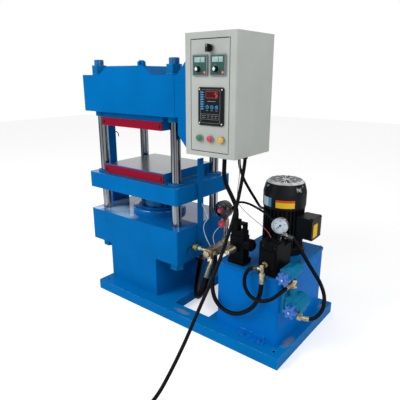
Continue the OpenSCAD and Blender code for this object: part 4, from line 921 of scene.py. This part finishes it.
def cover_finish():
    material = enamel_finish("fan cover enamel", "14191d", under="b4b6b6", edge=0.5, gloss=0.3, shine=0.12)
    tree = material.node_tree
    place = place_on(tree)
    # The pale tint on the up-facing top between the slot rings is a painted highlight.
    mottle = ramp(tree, noise(tree, place, 38.0, 5.0), 0.35, 0.6, 0.6, 1.0)
    top_highlight = calc(tree, "MULTIPLY", mottle, effect(tree, upward, Low=0.6, High=0.8)["Mask"])
    off = vec(tree, "SUBTRACT", place, (motor_x * mm, motor_y * mm, 0))
    reach = vec(tree, "LENGTH", vec(tree, "MULTIPLY", off, (1, 1, 0)))
    sides = wire(tree, "SeparateXYZ", Vector=off).outputs
    turn = calc(tree, "ARCTAN2", sides["Y"], sides["X"])
    for slots, middle, half in ((14, 0.056, 0.014), (7, 0.029, 0.0125)):
        swing = calc(tree, "COSINE", calc(tree, "MULTIPLY", turn, slots))
        ring = calc(tree, "COMPARE", reach, middle, half)
        slot = calc(tree, "MULTIPLY", ramp(tree, swing, -0.25, 0.05), ring)
        top_highlight = calc(tree, "MULTIPLY", top_highlight, calc(tree, "SUBTRACT", 1.0, slot))
    tint(material, top_highlight, "eff1f2")
    return material


cover_black = cover_finish()
wear_at(cover_black, [(0.423, 0.055, 0.632, 0.026, 0.42), (0.427, 0.081, 0.646, 0.012, 0.4),
                      (0.408, 0.048, 0.650, 0.012, 0.4), (0.299, 0.012, 0.645, 0.02, 0.4)])
dress(cover_black, "fan_cover")
dress(plain_finish("rotor black", "151617", 0.5, shine=0.2), "motor_rotor")
dress(motor_black, "terminal_box")
dress(plain_finish("pump casting", "7f8386", 0.55, metallic=0.6, grain=180), "gear_pump")


def plate_finish(name, colour, under):
    return enamel_finish(name, colour, under=under, edge=0.3, gloss=0.35)


def bent_plate(radius, start, stop, low, high, thick=0.8, steps=14):
    def make(bm):
        angles = [math.radians(start + (stop - start) * k / steps) for k in range(steps + 1)]
        rows = [[bm.verts.new((motor_x + r * math.cos(a), motor_y + r * math.sin(a), z)) for a in angles]
                for r in (radius, radius + thick) for z in (low, high)]
        for k in range(steps):
            for p, q in ((0, 1), (3, 2), (1, 3), (2, 0)):
                bm.faces.new((rows[p][k], rows[p][k + 1], rows[q][k + 1], rows[q][k]))
        for k in (0, steps):
            bm.faces.new((rows[0][k], rows[1][k], rows[3][k], rows[2][k]))
    return make


plate_yellow = plate_finish("plate yellow", "f2c530", "d8d0b0")
plate_red = plate_finish("plate red", "e0562e", "d8d0b0")
plate_pale = plate_finish("plate pale blue", "cbe6ee", "d8d8d0")
plate_blue = plate_finish("plate blue", "4aa3c9", "d8d8d0")
for plate_name, finish, slot, start, stop, low, high in [
        ("motor_plate", plate_yellow, "yellow_plastic", -86, -36, 557, 581),
        ("motor_plate_band", plate_red, "red_plastic", -86, -36, 581.5, 591),
        ("motor_side_plate", plate_pale, "grey_plastic", -133, -109, 557, 596),
        ("motor_side_band", plate_blue, "blue_plastic", -108.5, -99, 557, 596)]:
    fix_piece(plate_name, finish, "frame", [bent_plate(93.4, start, stop, low, high)])
fix_piece("terminal_plate", plate_yellow, "frame", [
    block((terminal_face, 57, 436), (terminal_face + 0.8, 98, 494))], edge=0.3)
lid_screws = [cap_screw((terminal_face, y, z), (1, 0, 0), 3.6, 3) for y in (50, 130) for z in (433, 515)]
flange_bolts = [hex_bolt((motor_x + 94 * math.cos(a), motor_y + 94 * math.sin(a), 357), (0, 0, 1), 10, 7)
                for a in [math.radians(45 + 90 * k) for k in range(4)]]
fix_piece("motor_bolts", plain_finish("black bolts", "3a3b3d", 0.4, metallic=0.8), "frame",
          [lid_screws, flange_bolts], edge=0.3)

# Valves: cast black blocks bolted to the lid, the left one with its solenoid.
# The relief valve's cover is held by cap screws on its front and top.
dress(enamel_finish("valve black", "0b0e10", under="3a3936", edge=0.35, gloss=0.4, shine=0.03),
      "directional_valve", "relief_valve")
front_screws = [cap_screw((x, -187, 463), (0, -1, 0), 4.8, 5) for x in (401, 451)]
top_screws = [cap_screw(place, (0, 0, 1), 4.8, 5)
              for place in ((448, -177, 470), (399, -147, 478), (453, -147, 478))]
fix_piece("relief_screws", plain_finish("valve screws", "2b2c2e", 0.35, metallic=0.8), "frame",
          [front_screws, top_screws])

# Gauges: a small steel pressure gauge on the relief valve with a white dial, its stem darker than its case,
# and a large black contact gauge by the manifold with a dark dial and a red setting knob.
# Both have a thin needle behind a glass.
gauge_steel = chrome_finish("gauge steel", "c3c6c9", 0.2, 0.35)
gauge_tree = gauge_steel.node_tree
tint(gauge_steel, ramp(gauge_tree, axis(gauge_tree, place_on(gauge_tree), "Z"), 0.497, 0.489), "5d5f62")
dress(gauge_steel, "gauge_case")
dress(dial_black, "gauge_needle")
dress(plain_finish("contact case", "1a1b1d", 0.35), "contact_gauge")
dress(plain_finish("contact needle", "c8322f", 0.35), "contact_needle")
glass, glass_tree, glass_shader = blank_finish("gauge glass")
feed(glass_tree, glass_shader, Base_Color=(0.95, 0.97, 0.97, 1), Transmission_Weight=1.0,
     Roughness=0.02, IOR=1.1)


def sweep(share):
    return math.radians(-135 + 270 * share)


def gauge_pieces(name, centre, turn, radius, depth, dial, ink_finish, figure_size):
    out = Vector((math.sin(math.radians(turn)), -math.cos(math.radians(turn)), 0))
    right = Vector((math.cos(math.radians(turn)), math.sin(math.radians(turn)), 0))
    up = Vector((0, 0, 1))
    c = Vector(centre)

    def ticks(bm):
        for k in range(41):
            a = sweep(k / 40)
            d = right * math.sin(a) + up * math.cos(a)
            side = right * math.cos(a) - up * math.sin(a)
            inner = radius * (0.80 if k % 10 == 0 else 0.86 if k % 5 == 0 else 0.89)
            half = 0.5 if k % 10 == 0 else 0.28
            bm.faces.new([bm.verts.new(c - out * (depth - 0.95) + d * r + side * s * half)
                          for r, s in ((inner, -1), (inner, 1), (radius * 0.94, 1), (radius * 0.94, -1))])

    numbers = []
    for k, number in enumerate(("0", "10", "20", "30", "40")):
        a = sweep(k / 4)
        spot = c - out * (depth - 0.9) + (right * math.sin(a) + up * math.cos(a)) * radius * 0.64
        numbers.append(figures(number, spot, figure_size, right, up))
    fix_piece(name + "_dial", dial, "frame", [
        turned(c - out * (depth - 0.1), c - out * (depth - 0.8), radius, 48)])
    fix_piece(name + "_dial_ink", ink_finish, "frame", [ticks, numbers])
    fix_piece(name + "_glass", glass, "frame", [
        turned(c - out * 2.2, c - out * 0.8, radius, 48)], edge=0.3)


gauge_turn = 12
gauge_angle = math.radians(gauge_turn)
gauge_face = (426 + 14 * math.sin(gauge_angle), -103 - 14 * math.cos(gauge_angle), 525)
dial_white = plain_finish("dial white", "d3e2ef", 0.5)
contact_dial = plain_finish("contact dial", "2c3136", 0.45)
gauge_pieces("pressure_gauge", gauge_face, gauge_turn, 28.8, 9, dial_white, dial_black, 6.5)
contact_face = front_of("contact_knob")
contact_face.y = box_of("contact_gauge")[0].y + 2
gauge_pieces("contact_gauge", contact_face, 0, 37.8, 11, contact_dial, scale_white, 7)
dress(moulded_finish("knob red", "b93a55", 0.3), "contact_knob")
dress(moulded_finish("shut-off red", "e2303f", 0.3), "shutoff_knob")

# Hand valves: two small castings in a lighter teal, one above the other beside the tank.
# Each has a lobed plastic handwheel, held by a screw.
dress(enamel_finish("teal casting", "1382b0", under="6d7a80", edge=0.8, gloss=0.35), "hand_valves")
dress(moulded_finish("wheel blue", "0560c0", 0.3), "upper_handwheel", "lower_handwheel")
fix_piece("wheel_screws", bright_steel, "frame", [
    cap_screw(front_of(which + "_handwheel") - inward * 3, -inward, 4.4, 3) for which in ("upper", "lower")])

# Fittings: turned and tarnished brass for the manifold, tees and hose ends,
# with crimped ferrules on the hoses.
# A yellow sleeve and a pale collar mark the oil sensor on the manifold.


def brass_tarnish():
    tree, given, out = group_with("brass tarnish", {"Brass": (0.6, 0.5, 0.3, 1)})
    spots = noise(tree, place_on(tree), 45.0, 6.0)
    feed(tree, out, Color=blend(tree, ramp(tree, spots, 0.38, 0.68), given["Brass"], "7d6c50"),
         Roughness=ramp(tree, spots, 0, 1, 0.22, 0.5), Height=spots)
    return tree


tarnish = brass_tarnish()


def brass_finish(name, colour):
    material = coated(name, tarnish, 0.08, 0.0004, Brass=colour)
    set_on(material, Metallic=1.0)
    return material


def ferrule(start, towards, length, radius):
    p, n = Vector(start), (Vector(towards) - Vector(start)).normalized()
    rings = []
    for grip in [p + n * length * 0.2 * k for k in range(5)]:
        groove = grip + n * length * 0.12
        rings.append(turned(grip, groove, radius, 28))
        rings.append(turned(groove, grip + n * length * 0.2, radius * 0.93, 28))
    return rings


dress(brass_finish("tarnished brass", "c6b798"), "brass_fittings")
ferrule_steel = plain_finish("ferrule steel", "6f756c", 0.35, metallic=0.9, grain=300)
fix_piece("ram_hose_ferrules", ferrule_steel, "frame", [
    ferrule((83, -109, 238), (82.6, -124, 211), 46, 18),
    ferrule((-151.4, 134.6, 145), (-134, 98, 123), 30, 18.5)], edge=0.4)
fix_piece("hose_ferrules", brass_finish("ferrule brass", "b7a887"), "frame", [
    ferrule((422, -225, 353), (422, -227, 318), 32, 11),
    ferrule((94, -87, 312.5), (122, -118, 298), 26, 11),
    ferrule((515, -187, 322), (515, -208, 321), 18, 9.2),
    ferrule((590, -193, 217), (606, -187, 217), 18, 9.2)], edge=0.3)
dark_ferrule = plain_finish("dark ferrule", "4d4f50", 0.4, metallic=0.8)
fix_piece("side_hose_ferrule", dark_ferrule, "frame", [
    ferrule((462, -103, 486), (481, -103, 483), 22, 9.6),
    ferrule((401, -225, 378), (375, -226, 372), 16, 8.8)], edge=0.3)
for piece_name, finish, start, end, radius in [
        ("sensor_sleeve", moulded_finish("sensor yellow", "d9d43a", 0.35), -15, 6, 8.6),
        ("sensor_collar", moulded_finish("sensor pale", "cfe3c4", 0.35), 16, 30, 8.8)]:
    fix_piece(piece_name, finish, "frame", [
        turned((start, -106, 320), (end, -106, 320), radius)], edge=1.2)

# Hoses: rubber-covered pressure hoses that hang between their fittings.
# Each is one smooth curve on the route of its solid.
hose_black = plain_finish("hose rubber", "060607", 0.45, grain=340, depth=0.0005, shine=0.08)


def lay_cord(name, route, diameter, finish, nodes):
    points = [Vector(p) * mm for p in route]
    curve, knots = rod_curve(name, "BEZIER", len(points), diameter / 2, 5, finish, steps=8)
    for i, knot in enumerate(knots):
        reach = (points[min(i + 1, len(points) - 1)] - points[max(i - 1, 0)]) / 6
        knot.co = points[i]
        knot.handle_left_type = knot.handle_right_type = "FREE"
        knot.handle_left = points[i] - reach
        knot.handle_right = points[i] + reach
    for a, b in zip(knots[:-1], knots[1:]):
        for t in [k / 32 for k in range(1, 33)]:
            s = 1 - t
            here = a.co * s ** 3 + a.handle_right * 3 * t * s ** 2
            here += b.handle_left * 3 * t * t * s + b.co * t ** 3
    cord = fix_rod(curve)
    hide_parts(*nodes)


hoses = [
    ("ram_hose", 30, [
        (83, -109, 238), (83, -121, 217), (81, -136, 184), (74, -146, 148), (58, -147, 114),
        (34, -134, 89), (5, -106, 75), (-26, -68, 71), (-57, -26, 74), (-87, 18, 85), (-113, 60, 102),
        (-134, 98, 123), (-151, 135, 145)]),
    ("pressure_hose", 18, [
        (422, -225, 352), (422, -227, 318), (415, -229, 262), (386, -232, 204), (340, -233, 163),
        (290, -232, 143), (240, -230, 147), (203, -226, 172), (177, -212, 206), (158, -186, 242),
        (142, -154, 274), (122, -118, 298), (95, -88, 312)]),
    ("elbow_hose", 15, [
        (515, -188, 322), (515, -208, 321), (504, -234, 308), (476, -249, 280), (435, -253, 261),
        (392, -249, 262), (360, -242, 286), (349, -234, 320), (356, -228, 352), (375, -226, 372),
        (400, -225, 378)]),
    ("side_hose", 15, [
        (462, -103, 486), (481, -103, 483), (502, -102, 464), (526, -99, 430), (551, -95, 393),
        (577, -89, 355), (600, -84, 320), (624, -96, 278), (635, -129, 243), (625, -168, 221),
        (606, -187, 217), (588, -193, 217)])]
for hose_name, diameter, route in hoses:
    lay_cord(hose_name, route, diameter, hose_black, ["hydraulic_hoses"])

# Cables: black rubber-sheathed cables that leave the cabinet through its glands for valve and motor,
# and one from the contact gauge to the relief valve.
cable_black = plain_finish("cable sheath", "060607", 0.42, grain=300, shine=0.08)
cables = [
    ("valve_cable", 18, [
        (178, -140, 808), (178, -140, 770), (177, -140, 732), (177, -140, 702), (184, -140, 672),
        (198, -140, 645), (218, -142, 616), (240, -148, 586), (252, -154, 556), (254, -157, 529)]),
    ("motor_cable", 12, [
        (219, -95, 808), (219, -95, 770), (222, -92, 730), (233, -78, 680), (245, -48, 628),
        (248, -2, 576), (239, 42, 540), (228, 92, 510), (238, 152, 488), (284, 200, 474), (350, 216, 468),
        (414, 202, 472), (448, 172, 480), (460, 137, 482)]),
    ("gauge_cable", 10, [
        (119, 14, 500), (132, 11, 520), (150, 4, 539), (186, -11, 553), (226, -23, 557), (268, -36, 554),
        (310, -49, 547), (345, -60, 539), (374, -72, 525), (392, -81, 508), (401, -84, 489)])]
for cable_name, diameter, route in cables:
    lay_cord(cable_name, route, diameter, cable_black, ["control_cables"])

# Sensor wires: thin sheathed wires from the stroke switch, the gauges and the oil sensor,
# white, black and grey; the grey one ends in a red sleeve near the relief valve.
wire_white = plain_finish("white wire", "d5dfe2", 0.35)
wire_grey = plain_finish("grey wire", "9a8f8a", 0.4)
grey_tree = wire_grey.node_tree
tint(wire_grey, ramp(grey_tree, axis(grey_tree, place_on(grey_tree), "X"), 0.345, 0.35), "b5484f")
wire_black = plain_finish("black wire", "08080a", 0.4, shine=0.2)
wires = [
    ("bar_wire", 3, wire_white, [
        (-19, -44, 527), (-6, -52, 514), (22, -62, 488), (36, -66, 458), (20, -68, 432), (18, -72, 404),
        (40, -78, 364), (60, -80, 340), (62, -80, 330)]),
    ("capillary", 3, wire_white, [
        (66, 8, 414), (58, -6, 402), (48, -22, 384), (46, -34, 364), (56, -44, 344), (65, -47, 329)]),
    ("gauge_wire", 3, wire_grey, [
        (236, -118, 808), (236, -118, 770), (233, -112, 700), (218, -100, 620), (220, -92, 575),
        (246, -88, 547), (284, -90, 525), (332, -98, 506), (374, -112, 490), (396, -122, 474),
        (404, -124, 462), (405, -124, 453)]),
    ("sensor_wire", 3.5, wire_black, [
        (-14, -106, 320), (-24, -116, 319), (-20, -146, 310), (2, -152, 288), (28, -130, 268),
        (48, -98, 264), (58, -74, 274), (60, -66, 290)])]
for wire_name, diameter, finish, route in wires:
    lay_cord(wire_name, route, diameter, finish, ["sensor_wires"])

# Mains lead: a round rubber lead from the cabinet's gland down to the floor and out to the front,
# its spare length wound into a two-layer coil with a strap, and an industrial plug on its end.
lead_route = [
    (275, -140, 808), (275, -140, 770), (275, -149, 726), (275, -176, 637), (275, -212, 549),
    (275, -256, 474), (275, -302, 402), (275, -354, 334), (275, -404, 279), (275, -460, 214),
    (275, -508, 158), (275, -562, 103), (275, -612, 58), (275, -650, 29), (275, -690, 11), (275, -728, 7),
    (276, -764, 7), (276, -800, 7)]
coil_x, coil_y = 360, -814
coil_turns, coil_radius, coil_step, coil_rise = 4.5, 84.0, 14.6, 14.6
lead_radius, knots_a_turn = 7, 24
for i in range(int(coil_turns * knots_a_turn) + 1):
    t = i / knots_a_turn
    radius = coil_radius - coil_step * min(t, coil_turns - t)
    climb = min(max((t - coil_turns / 2) * 2 + 0.5, 0), 1)
    angle = math.pi + 2 * math.pi * t
    lead_route.append((coil_x + radius * math.cos(angle), coil_y + radius * math.sin(angle),
                       lead_radius + coil_rise * (0.5 - 0.5 * math.cos(math.pi * climb))))
lead_route.append((coil_x + coil_radius, -800, lead_radius + coil_rise))
dress(moulded_finish("plug blue", "2a5fb4", 0.35), "mains_plug")


def strap_loop(bm):
    loop = [(42, 0.3), (92, 0.3), (93, 8), (93, 22), (92, 29.4), (62, 29.4), (46, 27), (41.5, 14)]
    rings = [[bm.verts.new((coil_x + side, coil_y + r + (grow if r > 60 else -grow),
                            max(0.2, z + (grow if z > 14 else 0)))) for r, z in loop]
             for side in (-6, 6) for grow in (0.0, 0.8)]
    for k in range(len(loop)):
        m = (k + 1) % len(loop)
        for a, b in ((0, 1), (1, 3), (3, 2), (2, 0)):
            bm.faces.new((rings[a][k], rings[a][m], rings[b][m], rings[b][k]))


webbing = plain_finish("strap webbing", "2a2b2d", 0.7, grain=700)
coil_strap = fix_piece("coil_strap", webbing, "frame", [strap_loop])
lay_cord("mains_lead_cord", lead_route, 2 * lead_radius, cable_black,
         ["mains_lead", "mains_coil"])
